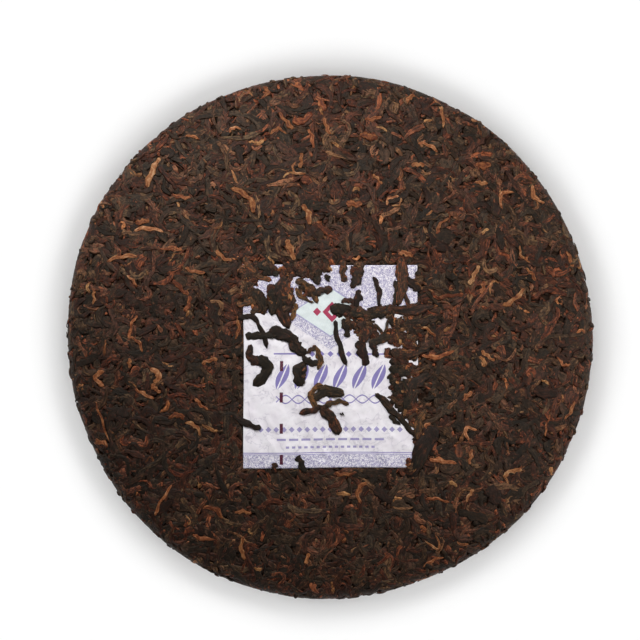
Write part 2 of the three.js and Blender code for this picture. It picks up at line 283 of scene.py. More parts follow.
class NodeBench:
    """Adds and links the nodes of one material, so that a finish reads as a short recipe."""

    def __init__(self, name: str) -> None:
        """Starts a material with a Principled shader.

        Args:
            name: The material's name.
        """
        self.material = bpy.data.materials.new(name)
        self.material.use_nodes = True
        self.tree = self.material.node_tree
        self.shader = next(n for n in self.tree.nodes if n.type == "BSDF_PRINCIPLED")

    def feed(self, socket: bpy.types.NodeSocket, value: object) -> None:
        """Links a wire to a socket, or sets the socket to a constant.

        Args:
            socket: The socket.
            value: The wire or constant.
        """
        if isinstance(value, Wire):
            self.tree.links.new(value.socket, socket)
        else:
            socket.default_value = value

    def node(self, kind: str, inputs: dict | None = None, **settings: object) -> bpy.types.Node:
        """Adds a node.

        Args:
            kind: The node's Blender type.
            inputs: Values or wires for its sockets, by name or number.
            **settings: Properties of the node.

        Returns:
            The new node.
        """
        made = self.tree.nodes.new(kind)
        for name, value in settings.items():
            setattr(made, name, value)
        for name, value in (inputs or {}).items():
            self.feed(made.inputs[name], value)
        return made

    def math(self, operation: str, *values: object) -> "Wire":
        """A math node on wires or numbers."""
        made = self.node("ShaderNodeMath", dict(enumerate(values)), operation=operation)
        return Wire(self, made.outputs[0])

    def value(self, name: str) -> "Wire":
        """A number that the mesh's points carry."""
        return Wire(self, self.node("ShaderNodeAttribute", attribute_name=name).outputs["Fac"])

    def vector(self, name: str) -> "Wire":
        """A vector that the mesh's points carry."""
        return Wire(self, self.node("ShaderNodeAttribute", attribute_name=name).outputs["Vector"])

    def split(self, vector: "Wire") -> tuple["Wire", "Wire", "Wire"]:
        """The three parts of a vector."""
        made = self.node("ShaderNodeSeparateXYZ", {0: vector})
        return tuple(Wire(self, output) for output in made.outputs)

    def stretched(self, vector: "Wire", scale: Triple) -> "Wire":
        """A vector scaled along its three axes."""
        made = self.node("ShaderNodeMapping", {"Vector": vector, "Scale": scale})
        return Wire(self, made.outputs[0])

    def noise(self, vector: "Wire", scale: float, detail: float = 2.0, rough: float = 0.5,
              distortion: float = 0.0) -> "Wire":
        """Smooth noise from 0 to 1.

        Args:
            vector: Where the noise is read.
            scale: How fine it is.
            detail: How many finer layers are added.
            rough: How strong those layers are.
            distortion: How much it swirls.

        Returns:
            The noise's value.
        """
        inputs = {"Vector": vector, "Scale": scale, "Detail": detail, "Roughness": rough,
                  "Distortion": distortion}
        return Wire(self, self.node("ShaderNodeTexNoise", inputs).outputs[0])

    def ramp(self, factor: "Wire", stops: Stops) -> "Wire":
        """Makes a colour that follows a factor.

        Args:
            factor: The factor, from 0 to 1.
            stops: Positions along it and their colours.

        Returns:
            The colour.
        """
        made = self.node("ShaderNodeValToRGB", {0: factor})
        elements = made.color_ramp.elements
        while len(elements) < len(stops):
            elements.new(1.0)
        for element, (position, colour) in zip(elements, stops):
            element.position = position
            element.color = colour
        return Wire(self, made.outputs[0])

    def mix(self, factor: object, low: object, high: object,
            blend: Blend = Blend.COVER) -> "Wire":
        """Lays one colour over another.

        Args:
            factor: How much of it is laid, from 0 to 1.
            low: The colour below.
            high: The colour above.
            blend: How the two are blended.

        Returns:
            The mixed colour.
        """
        made = self.node("ShaderNodeMix", data_type="RGBA", blend_type=blend.value)
        for number, value in ((0, factor), (6, low), (7, high)):
            self.feed(made.inputs[number], value)
        return Wire(self, made.outputs[2])

    def bump(self, height: "Wire", strength: float, distance: float) -> "Wire":
        """A normal bent by a height, at a distance in metres for its full range."""
        inputs = {"Height": height, "Strength": strength, "Distance": distance}
        return Wire(self, self.node("ShaderNodeBump", inputs).outputs[0])

    def finish(self, **sockets: object) -> bpy.types.Material:
        """Sets the shader's sockets.

        Args:
            **sockets: Values or wires by the sockets' names, with _ for a space.

        Returns:
            The material.
        """
        for name, value in sockets.items():
            self.feed(self.shader.inputs[name.replace("_", " ")], value)
        return self.material


@dataclass(frozen=True)
class Wire:
    """A value in a node tree, which plain arithmetic extends with math nodes."""

    bench: NodeBench
    socket: bpy.types.NodeSocket

    def __add__(self, other: object) -> "Wire":
        """The sum."""
        return self.bench.math("ADD", self, other)

    def __sub__(self, other: object) -> "Wire":
        """The difference."""
        return self.bench.math("SUBTRACT", self, other)

    def __mul__(self, other: object) -> "Wire":
        """The product."""
        return self.bench.math("MULTIPLY", self, other)

    def __truediv__(self, other: object) -> "Wire":
        """The quotient."""
        return self.bench.math("DIVIDE", self, other)

    def __abs__(self) -> "Wire":
        """The size without its sign."""
        return self.bench.math("ABSOLUTE", self)

    def __or__(self, other: object) -> "Wire":
        """The larger of two, which joins two masks."""
        return self.bench.math("MAXIMUM", self, other)

    def under(self, limit: object) -> "Wire":
        """1 where this is below a limit, and else 0."""
        return self.bench.math("LESS_THAN", self, limit)

    def over(self, limit: object) -> "Wire":
        """1 where this is above a limit, and else 0."""
        return self.bench.math("GREATER_THAN", self, limit)

    def within(self, low: float, high: float) -> "Wire":
        """1 from low to high, and else 0."""
        return self.over(low) * self.under(high)

    def repeated(self, pitch: float) -> "Wire":
        """The distance from the middle of the pitch that this lies in."""
        return self.bench.math("WRAP", self, pitch / 2, -pitch / 2)

    def sine(self, wavelength: float) -> "Wire":
        """A sine of that wavelength."""
        return self.bench.math("SINE", self * (TURN / wavelength))


@dataclass(frozen=True)
class LeafFinish:
    """The finish of one kind of tea leaf: fine long wrinkles, mottled from leaf to leaf, with
    painted shade in its middle crease and on the deeper leaves.

    The grain runs in millimetres along and across the leaf. The tones go from the darkest
    leaf to the lightest, and the middle is where a leaf of mean lightness lies among them.
    """

    name: str
    tones: Stops
    roughness: float = 0.55
    shine: float = 0.22
    sheen: Colour = (1.0, 0.88, 0.78, 1.0)
    wrinkle: float = 0.6
    wrinkle_depth: float = 0.8 * MM
    middle: float = 1.26
    spread: float = 0.54
    swing: float = 1.0
    hues: Stops = ((0.0, (0.74, 0.98, 1.12, 1.0)), (0.25, (0.9, 1.01, 0.92, 1.0)),
                   (0.5, (0.96, 1.0, 1.0, 1.0)), (0.7, (1.13, 0.93, 1.06, 1.0)),
                   (0.95, (1.5, 0.87, 0.7, 1.0)))
    # Painted shade: leaves that lie deeper are darkened, down to half at the deepest.
    painted_depth_shade: Stops = ((0.0, (0.5, 0.47, 0.45, 1.0)), (0.75, WHITE))

    def material(self) -> bpy.types.Material:
        """Makes the finish from the leaf's own grain, tone, tint and depth, the depth as painted
        shade.

        Returns:
            The material.
        """
        bench = NodeBench(self.name)
        grain = bench.vector("grain")
        tone = bench.value("tone")
        tint = bench.value("tint")
        depth = bench.value("depth")
        _, across, _ = bench.split(grain)
        streaks = bench.noise(bench.stretched(grain, (0.45, 1.9, 1.0)), 1.0, 4.0, 0.66, 0.5)
        blotches = bench.noise(grain, 0.6, 3.0, 0.6, 0.6)
        specks = bench.noise(grain, 1.9, 2.0, 0.6)
        pits = bench.noise(bench.stretched(grain, (1.6, 4.4, 1.0)), 1.2, 2.0, 0.6)
        # Painted shade: a darker line along the leaf's middle crease.
        painted_crease_shade = (abs(across + blotches * 0.6 - 0.3) * -3.2 + 1.0) | 0.0
        shade = tone * self.spread + streaks * 1.7 + blotches * 1.3 + specks * 0.4 - painted_crease_shade * 0.16
        colour = bench.ramp(shade - (self.middle + self.spread / 2), self.tones)
        hue = bench.ramp(tint + blotches + specks * 0.7 - 0.85, self.hues)
        colour = bench.mix(self.swing, colour, hue, Blend.TINT)
        # Painted shade on the leaves that lie deeper among the others.
        colour = bench.mix(1.0, colour, bench.ramp(depth, self.painted_depth_shade), Blend.TINT)
        relief = streaks * 0.7 + pits * 0.3
        return bench.finish(
            Base_Color=colour,
            Roughness=streaks * 0.5 + (self.roughness - 0.25),
            Specular_IOR_Level=self.shine,
            Specular_Tint=self.sheen,
            Normal=bench.bump(relief, self.wrinkle, self.wrinkle_depth),
        )


@dataclass(frozen=True)
class BedFinish:
    """The dark mass of dust and leaf that shows only in the gaps between the leaves."""

    name: str = "tea_bed"
    clumps: Stops = ((0.38, paint(32, 21, 15)), (0.7, paint(64, 43, 30)))
    clumps_per_metre: float = 420.0
    roughness: float = 0.9
    shine: float = 0.1
    relief: float = 0.8
    relief_depth: float = 0.8 * MM

    def material(self) -> bpy.types.Material:
        """Makes the finish on object coordinates.

        Returns:
            The material.
        """
        bench = NodeBench(self.name)
        place = Wire(bench, bench.node("ShaderNodeTexCoord").outputs["Object"])
        clumps = bench.noise(place, self.clumps_per_metre, 4.0, 0.6)
        return bench.finish(
            Base_Color=bench.ramp(clumps, self.clumps),
            Roughness=self.roughness,
            Specular_IOR_Level=self.shine,
            Normal=bench.bump(clumps, self.relief, self.relief_depth),
        )


def lozenge(across: Wire, up: Wire, size: Pair) -> Wire:
    """How far out a place lies in a lozenge of that half width and height: 1 at its edge."""
    return abs(across) / size[0] + abs(up) / size[1]


@dataclass(frozen=True)
class MarkRow:
    """A row of one plain mark, a bar or a diamond, repeated along a level line of the print.

    The size is the mark's half width and half height.
    """

    level: float
    pitch: float
    size: Pair
    reach: float
    diamond: bool = False

    def mask(self, x: Wire, y: Wire) -> Wire:
        """Draws the row.

        Args:
            x: How far a place lies to the right of the paper's middle.
            y: How far it lies above it.

        Returns:
            1 on the marks, and else 0.
        """
        across, up = x.repeated(self.pitch), y - self.level
        if self.diamond:
            mark = lozenge(across, up, self.size).under(1.0)
        else:
            mark = abs(across).under(self.size[0]) * abs(up).under(self.size[1])
        return mark * abs(x).under(self.reach)


@dataclass(frozen=True)
class PaperPrint:
    """Thin matt paper with speckled bands, rules and rows of plain shapes printed in lilac, with
    painted shade in its creases and towards its top.

    Positions are millimetres from the middle of the ticket. A lozenge's size is its half
    width and half height.
    """

    name: str = "printed_paper"
    paper: Stops = ((0.35, paint(240, 232, 236)), (0.6, paint(251, 245, 247)))
    # Painted shade: the paper is tinted a little darker towards its top end, over this length.
    painted_top_shade: Colour = (0.94, 0.93, 0.92, 1.0)
    painted_top_shade_over: float = 76.0
    lilac: Colour = paint(122, 110, 178)
    speckle: Colour = paint(149, 141, 179)
    tinted: Colour = paint(242, 236, 240)
    # Painted shade along the paper's creases.
    paper_crease_shade: Colour = paint(198, 190, 200)
    green: Colour = paint(230, 238, 234)
    plum: Colour = paint(176, 66, 94)
    thread: Colour = paint(84, 24, 46)
    relief_depth: float = 0.5 * MM
    top_band: float = 21.6
    bottom_band: float = -33.2
    scallop: float = 14.0
    scallop_depth: float = 1.6
    panel_middle: float = 20.6
    panel: Pair = (14.0, 9.2)
    surround: Pair = (21.0, 14.2)
    diamonds_middle: float = 0.6
    large_diamond: Pair = (3.6, 3.9)
    small_diamond: Pair = (1.5, 1.6)
    diamond_pitch: float = 5.6
    leaf_row: float = -3.7
    leaf_pitch: float = 7.2
    leaf_reach: float = 21.6
    leaf_lean: float = 0.42
    leaf_taper: float = 0.085
    leaf_size: float = 2.15
    leaf_rib: float = 0.28
    rule_level: float = 4.8
    rule_thick: float = 0.28
    rule_from_to: Pair = (12.6, 21.4)
    wave_level: float = -12.2
    wavelength: float = 9.6
    wave_rise: float = 1.5
    wave_thick: float = 0.24
    wave_reach: float = 20.4
    borders: tuple[Pair, ...] = ((-32.4, 0.16), (-33.0, 0.12))
    beads: MarkRow = MarkRow(4.8, 3.4, (1.15, 1.15), 10.2, diamond=True)
    bars: tuple[MarkRow, ...] = (
        MarkRow(-23.6, 2.9, (1.1, 1.1), 27.5, diamond=True),
        MarkRow(-27.4, 4.6, (1.7, 0.42), 20.6),
        MarkRow(-30.3, 2.3, (0.62, 0.42), 17.2),
    )
    thread_line: float = -18.4
    thread_start: float = 0.2
    thread_pitch: float = 11.7
    thread_dash: Pair = (0.62, 1.9)

    def material(self) -> bpy.types.Material:
        """Makes the finish from the sheet's own flat coordinates.

        Returns:
            The material.
        """
        bench = NodeBench(self.name)
        flat = bench.vector("print")
        x, y, _ = bench.split(flat)
        worms = bench.noise(flat, 1.5, 3.0, 0.7, 1.4)
        mottle = bench.noise(flat, 0.16, 3.0, 0.6)
        fibres = bench.noise(bench.stretched(flat, (2.0, 2.6, 1.0)), 2.0, 3.0, 0.6)
        # Painted shade: thin grey lines where the paper creases.
        paper_crease_lines = (abs(bench.noise(flat, 0.15, 3.0, 0.6, 0.9) - 0.5) * -28 + 1.0) | 0.0
        panel = lozenge(x, y - self.panel_middle, self.panel)
        bands = self._bands(x, y)
        thread = self._thread(x, y) * (fibres.over(0.4) * 0.3 + 0.7)
        colour = bench.ramp(mottle, self.paper)
        for cover, over in (
            (paper_crease_lines * (mottle.under(0.52) * 0.4 + 0.15), self.paper_crease_shade),
            (bands, self.tinted),
            (bands * worms.over(0.5) * 0.85, self.speckle),
            (panel.under(1.0) * 0.9, self.green),
            (self._lines(x, y) * 0.9 | panel.within(0.97, 1.04) * 0.5, self.lilac),
            (self._diamonds(x, y), self.plum),
            (thread, self.thread),
        ):
            colour = bench.mix(cover, colour, over)
        # Painted shade, growing darker towards the top of the sheet.
        painted_top_shade = bench.mix(1.0, colour, self.painted_top_shade, Blend.TINT)
        relief = mottle * 0.6 + fibres * 0.4
        return bench.finish(
            Base_Color=bench.mix(y / self.painted_top_shade_over + 0.5, colour, painted_top_shade),
            Roughness=0.85,
            Specular_IOR_Level=0.2,
            Normal=bench.bump(relief, 0.6, self.relief_depth),
        )

    def _bands(self, x: Wire, y: Wire) -> Wire:
        """Draws the speckled bands: the upper one with a scalloped edge, and the lower one.

        Args:
            x: How far a place lies to the right of the paper's middle.
            y: How far it lies above it.

        Returns:
            1 in the bands and round the panel, and else 0.
        """
        upper = (y + abs(x.sine(self.scallop)) * self.scallop_depth).over(self.top_band)
        surround = lozenge(x, y - self.panel_middle, self.surround).under(1.0)
        return upper | surround | y.under(self.bottom_band)

    def _diamonds(self, x: Wire, y: Wire) -> Wire:
        """Draws three plain diamonds in the middle of the panel, the middle one larger.

        Args:
            x: How far a place lies to the right of the paper's middle.
            y: How far it lies above it.

        Returns:
            1 on the diamonds, and else 0.
        """
        across, up = abs(x - self.diamonds_middle), y - self.panel_middle
        large = lozenge(across, up, self.large_diamond).under(1.0)
        hollow = lozenge(across, up, self.small_diamond).over(1.0)
        small = lozenge(across - self.diamond_pitch, up, self.small_diamond).under(1.0)
        return large * hollow | small

    def _lines(self, x: Wire, y: Wire) -> Wire:
        """Draws all that is printed in plain lilac.

        Args:
            x: How far a place lies to the right of the paper's middle.
            y: How far it lies above it.

        Returns:
            How much of the print covers the place, from 0 to 1.
        """
        up = y - self.leaf_row
        across = (x + self.leaf_pitch / 2).repeated(self.leaf_pitch) - up * self.leaf_lean
        leaves = (abs(across) + up * up * self.leaf_taper).under(self.leaf_size)
        leaves = leaves * abs(across).over(self.leaf_rib) * abs(x).under(self.leaf_reach)
        rule = abs(y - self.rule_level).under(self.rule_thick) * abs(x).within(*self.rule_from_to)
        curve, level = x.sine(self.wavelength) * self.wave_rise, y - self.wave_level
        thick = self.wave_thick
        waves = abs(level - curve).under(thick) | abs(level + curve).under(thick)
        lines = leaves | rule | self.beads.mask(x, y) | waves * abs(x).under(self.wave_reach)
        for border, border_thick in self.borders:
            lines = lines | abs(y - border).under(border_thick)
        for row in self.bars:
            lines = lines | row.mask(x, y) * 0.8
        return lines

    def _thread(self, x: Wire, y: Wire) -> Wire:
        """The dashes of the woven thread, near the left edge."""
        across, along = x - self.thread_line, (y - self.thread_start).repeated(self.thread_pitch)
        return abs(across).under(self.thread_dash[0]) * abs(along).under(self.thread_dash[1])


def mesh_piece(name: str, points: np.ndarray, corners: np.ndarray, starts: np.ndarray,
               values: dict[str, np.ndarray], material: bpy.types.Material) -> bpy.types.Object:
    """Makes one smooth piece that rides on the cake's body.

    Args:
        name: The piece's name.
        points: Its vertices in millimetres.
        corners: The vertices of its faces, one face after another.
        starts: Where each face starts in corners.
        values: Attributes of its vertices, each a number or a vector.
        material: Its finish.

    Returns:
        The new object.
    """
    mesh = bpy.data.meshes.new(name)
    mesh.vertices.add(len(points))
    mesh.vertices.foreach_set("co", (points * MM).astype(np.float32).ravel())
    mesh.loops.add(len(corners))
    mesh.loops.foreach_set("vertex_index", corners.astype(np.int32))
    mesh.polygons.add(len(starts))
    mesh.polygons.foreach_set("loop_start", starts.astype(np.int32))
    mesh.polygons.foreach_set("use_smooth", np.ones(len(starts), bool))
    for key, value in values.items():
        kind, slot_name = ("FLOAT", "value") if value.ndim == 1 else ("FLOAT_VECTOR", "vector")
        layer = mesh.attributes.new(key, kind, "POINT")
        layer.data.foreach_set(slot_name, value.astype(np.float32).ravel())
    mesh.update(calc_edges=True)
    mesh.validate()
    mesh.materials.append(material)
    piece = bpy.data.objects.new(name, mesh)
    bpy.context.scene.collection.objects.link(piece)
    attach(piece, "root")
    triangles = len(corners) - 2 * len(starts)
    log.info("%s: %d triangles", name, triangles)
    return piece


def mesh_arrays(bm: bmesh.types.BMesh) -> Arrays:
    """Reads a bmesh and frees it.

    Args:
        bm: The bmesh.

    Returns:
        Its vertices, the vertices of its faces one face after another, and where each
        face starts among them.
    """
    bm.verts.index_update()
    points = np.array([v.co for v in bm.verts], float)
    faces = [[v.index for v in face.verts] for face in bm.faces]
    bm.free()
    corners = np.array([index for face in faces for index in face])
    starts = np.concatenate([[0], np.cumsum([len(face) for face in faces])[:-1]])
    return points, corners, starts


@dataclass(frozen=True)
class LeafBlank:
    """A straight rolled leaf of unit size, which a kind of leaf copies, sizes and bends."""

    stations: int
    station: np.ndarray
    across: np.ndarray
    rise: np.ndarray
    corners: np.ndarray
    starts: np.ndarray

    @classmethod
    def rolled(cls, stations: int, section: Sequence[Pair]) -> "LeafBlank":
        """Extrudes a section along the leaf and draws each end to a point.

        Args:
            stations: How many steps the leaf has along its length.
            section: Points round the leaf, as (across, rise).

        Returns:
            The blank.
        """
        bm = bmesh.new()
        ring = [bm.verts.new((0.0, across, rise)) for across, rise in section]
        edges = [bm.edges.new(pair) for pair in zip(ring, ring[1:] + ring[:1])]
        first = ring
        for _ in range(stations):
            grown = bmesh.ops.extrude_edge_only(bm, edges=edges)["geom"]
            ring = [item for item in grown if isinstance(item, bmesh.types.BMVert)]
            edges = [item for item in grown if isinstance(item, bmesh.types.BMEdge)]
            bmesh.ops.translate(bm, verts=ring, vec=(1.0, 0.0, 0.0))
        for end, x in ((first, 0.0), (ring, float(stations))):
            bmesh.ops.pointmerge(bm, verts=end, merge_co=(x, 0.0, 0.0))
        bmesh.ops.recalc_face_normals(bm, faces=bm.faces)
        points, corners, starts = mesh_arrays(bm)
        return cls(stations, points[:, 0].round().astype(int), points[:, 1], points[:, 2],
                   corners, starts)


class Blanks:
    """The few leaf blanks that all leaves are bent from."""

    FOLDED = ((1, 0), (0.56, 0.86), (0.05, 0.5), (-0.5, 1.0), (-1, 0.06), (0, -0.7))
    ROUND = ((1, -0.05), (0.45, 0.95), (-0.5, 0.9), (-1, 0), (0, -0.7))
    THIN = ((1, 0), (0, 1), (-1, 0), (0, -0.8))
    CREASED = ((1, -0.1), (0.72, 0.7), (0.34, 0.5), (0.05, 1.0), (-0.3, 0.62), (-0.66, 0.95),
               (-1, 0), (-0.1, -0.8))

    strip = LeafBlank.rolled(8, FOLDED)
    flake = LeafBlank.rolled(6, CREASED)
    bud = LeafBlank.rolled(8, ROUND)
    stem = LeafBlank.rolled(8, THIN)
    crumb = LeafBlank.rolled(3, THIN)
    large = LeafBlank.rolled(16, CREASED)


@dataclass
class LeafLines:
    """Centre lines of many leaves on one side of the cake, and how each is filled out.

    The arrays have one row for each leaf, and those along the leaf one column for each
    station of the blank.
    """

    side: Side
    centre: np.ndarray
    heading: np.ndarray
    half_width: np.ndarray
    thickness: np.ndarray
    roll: np.ndarray
    height: np.ndarray
    length: np.ndarray
    tone: np.ndarray
    tint: np.ndarray
    give: float


@dataclass(frozen=True)
class Ticket:
    """The paper sheet pressed into the top of the cake."""

    width: float = 65.4
    length: float = 76.4
    middle: Pair = (0.5, -11.2)
    top: float = 0.2
    paper: float = 0.16
    clearance: float = 0.15
    tuck: float = 0.5
    columns: int = 130
    rows: int = 150
    dent: float = 0.4

    def inside(self, x: np.ndarray, y: np.ndarray, margin: float = 0.0) -> np.ndarray:
        """True where a point lies over the sheet, grown by a margin."""
        return (np.abs(x - self.middle[0]) < self.width / 2 + margin) & (
            np.abs(y - self.middle[1]) < self.length / 2 + margin
        )

    def underside(self) -> float:
        """The level that the leaves under the sheet stay below."""
        return self.top - self.paper - self.dent - self.clearance

    def build(self, surface: CakeSurface) -> bpy.types.Object:
        """Makes the creased sheet, laid on the dome.

        Args:
            surface: The cake's surface.

        Returns:
            The sheet.
        """
        bm = bmesh.new()
        bmesh.ops.create_grid(bm, x_segments=self.columns, y_segments=self.rows, size=0.5)
        bmesh.ops.scale(bm, verts=bm.verts, vec=(self.width, self.length, 1.0))
        bmesh.ops.solidify(bm, geom=bm.faces[:], thickness=self.paper)
        flat, corners, starts = mesh_arrays(bm)
        flat[:, 2] -= flat[:, 2].max()
        creases = np.array([self._crease(x, y) for x, y, _ in flat])
        height = self.top + creases + flat[:, 2]
        points = surface.place(Side.TOP, flat[:, 0] + self.middle[0], flat[:, 1] + self.middle[1],
                               height)
        piece = mesh_piece("paper_ticket", points, corners, starts, {"print": flat},
                           PaperPrint().material())
        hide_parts("ticket")
        return piece

    def _crease(self, x: float, y: float) -> float:
        """Works out how the leaves under the sheet crease it.

        Args:
            x: How far a place lies to the right of the sheet's middle.
            y: How far it lies above it.

        Returns:
            How far the sheet lies above or below its mean.
        """
        place = Vector((x, y, 0.0))
        lumps = noise.noise(place * 0.16 + Vector((3.1, 0.4, 0.0)))
        dents = noise.noise(place * 0.42)
        folds = 1 - 2 * abs(noise.noise(Vector((x * 0.17 + y * 0.11, y * 0.07 - x * 0.05, 5.0))))
        fine = abs(noise.noise(Vector((x * 0.3 - y * 0.2, y * 0.24 + x * 0.1, 9.0))))
        return self.dent * (0.5 * lumps + 0.35 * dents + 0.45 * folds - 0.5 * fine - 0.2)


@dataclass
class LeafPress:
    """Bends, presses and joins leaves on the cake's surface."""

    surface: CakeSurface
    ticket: Ticket
    knee: float = 0.1
    lift_over_paper: float = 0.6
    paper_margin: float = 0.1
    deepest: float = -1.0
    depth_range: float = 1.5
    grain_apart: float = 7.31

    def pressed(self, height: np.ndarray, give: float) -> np.ndarray:
        """Flattens what stands above the knee to a share of its height, as the press does."""
        return np.where(height > self.knee, self.knee + (height - self.knee) * give, height)

    def shape(self, blank: LeafBlank, lines: LeafLines, over_paper: bool) -> Arrays:
        """Wraps a blank round each of the centre lines.

        Args:
            blank: The blank that is copied.
            lines: The leaves' centre lines and sizes.
            over_paper: True for leaves that lie on the ticket.

        Returns:
            The points, the grain and the depth of each vertex, one row for each leaf.
        """
        k = blank.station
        across = blank.across * lines.half_width[:, k]
        rise = blank.rise * lines.thickness[:, k]
        roll = lines.roll[:, k]
        side_way = across * np.cos(roll) - rise * np.sin(roll)
        up = lines.height[:, k] + across * np.sin(roll) + rise * np.cos(roll)
        heading = lines.heading[:, k]
        x = lines.centre[:, k, 0] - np.sin(heading) * side_way
        y = lines.centre[:, k, 1] + np.cos(heading) * side_way
        base = self.lift_over_paper if over_paper else 0.0
        up = self.pressed(up - base, lines.give) + base
        if lines.side is Side.TOP and not over_paper:
            covered = self.ticket.inside(x, y, self.paper_margin)
            up = np.where(covered, np.minimum(up, self.ticket.underside()), up)
        along = k / blank.stations * lines.length[:, None]
        number = np.broadcast_to(np.arange(len(x))[:, None] * self.grain_apart, x.shape)
        grain = np.stack([along, across, number], axis=-1)
        # How deep each point lies, which the leaf finishes turn into painted shade.
        depth = np.clip((up - self.deepest) / self.depth_range, 0, 1)
        return self.surface.place(lines.side, x, y, up), grain, depth

    def join(self, name: str, blank: LeafBlank, groups: Sequence[LeafLines],
             finish: LeafFinish, over_paper: bool = False) -> bpy.types.Object:
        """Makes one piece of many leaves.

        Args:
            name: The piece's name.
            blank: The blank that each leaf is bent from.
            groups: The leaves, one group for each side of the cake.
            finish: Their finish.
            over_paper: True for leaves that lie on the ticket.

        Returns:
            The piece.
        """
        shaped = [self.shape(blank, lines, over_paper) for lines in groups]
        points, grain, depth = (np.concatenate(parts) for parts in zip(*shaped))
        tone = np.concatenate([lines.tone for lines in groups])
        tint = np.concatenate([lines.tint for lines in groups])
        count, size = points.shape[:2]
        number = np.arange(count)[:, None]
        corners = (blank.corners + number * size).ravel()
        starts = (blank.starts + number * len(blank.corners)).ravel()
        values = {
            "grain": grain.reshape(-1, 3),
            "depth": depth.ravel(),
            "tone": np.repeat(tone, size),
            "tint": np.repeat(tint, size),
        }
        log.info("%s: %d leaves", name, count)
        return mesh_piece(name, points.reshape(-1, 3), corners, starts, values,
                          finish.material())


@dataclass(frozen=True)
class PaintedLightDrift:
    """Painted light and shade on the leaves: lighter towards the top and right, darkest in one
    patch.
    """

    upwards: float = 0.0008
    rightwards: float = 0.0003
    patch: Pair = (-78.0, -44.0)
    patch_reach: float = 30.0
    patch_depth: float = 0.26

    def at(self, x: np.ndarray, y: np.ndarray) -> np.ndarray:
        """How much lighter the painted light makes the leaves at a place, on the scale of their
        tone.
        """
        off = ((x - self.patch[0]) ** 2 + (y - self.patch[1]) ** 2) / self.patch_reach**2
        return self.upwards * y + self.rightwards * x - self.patch_depth * np.exp(-off / 2)


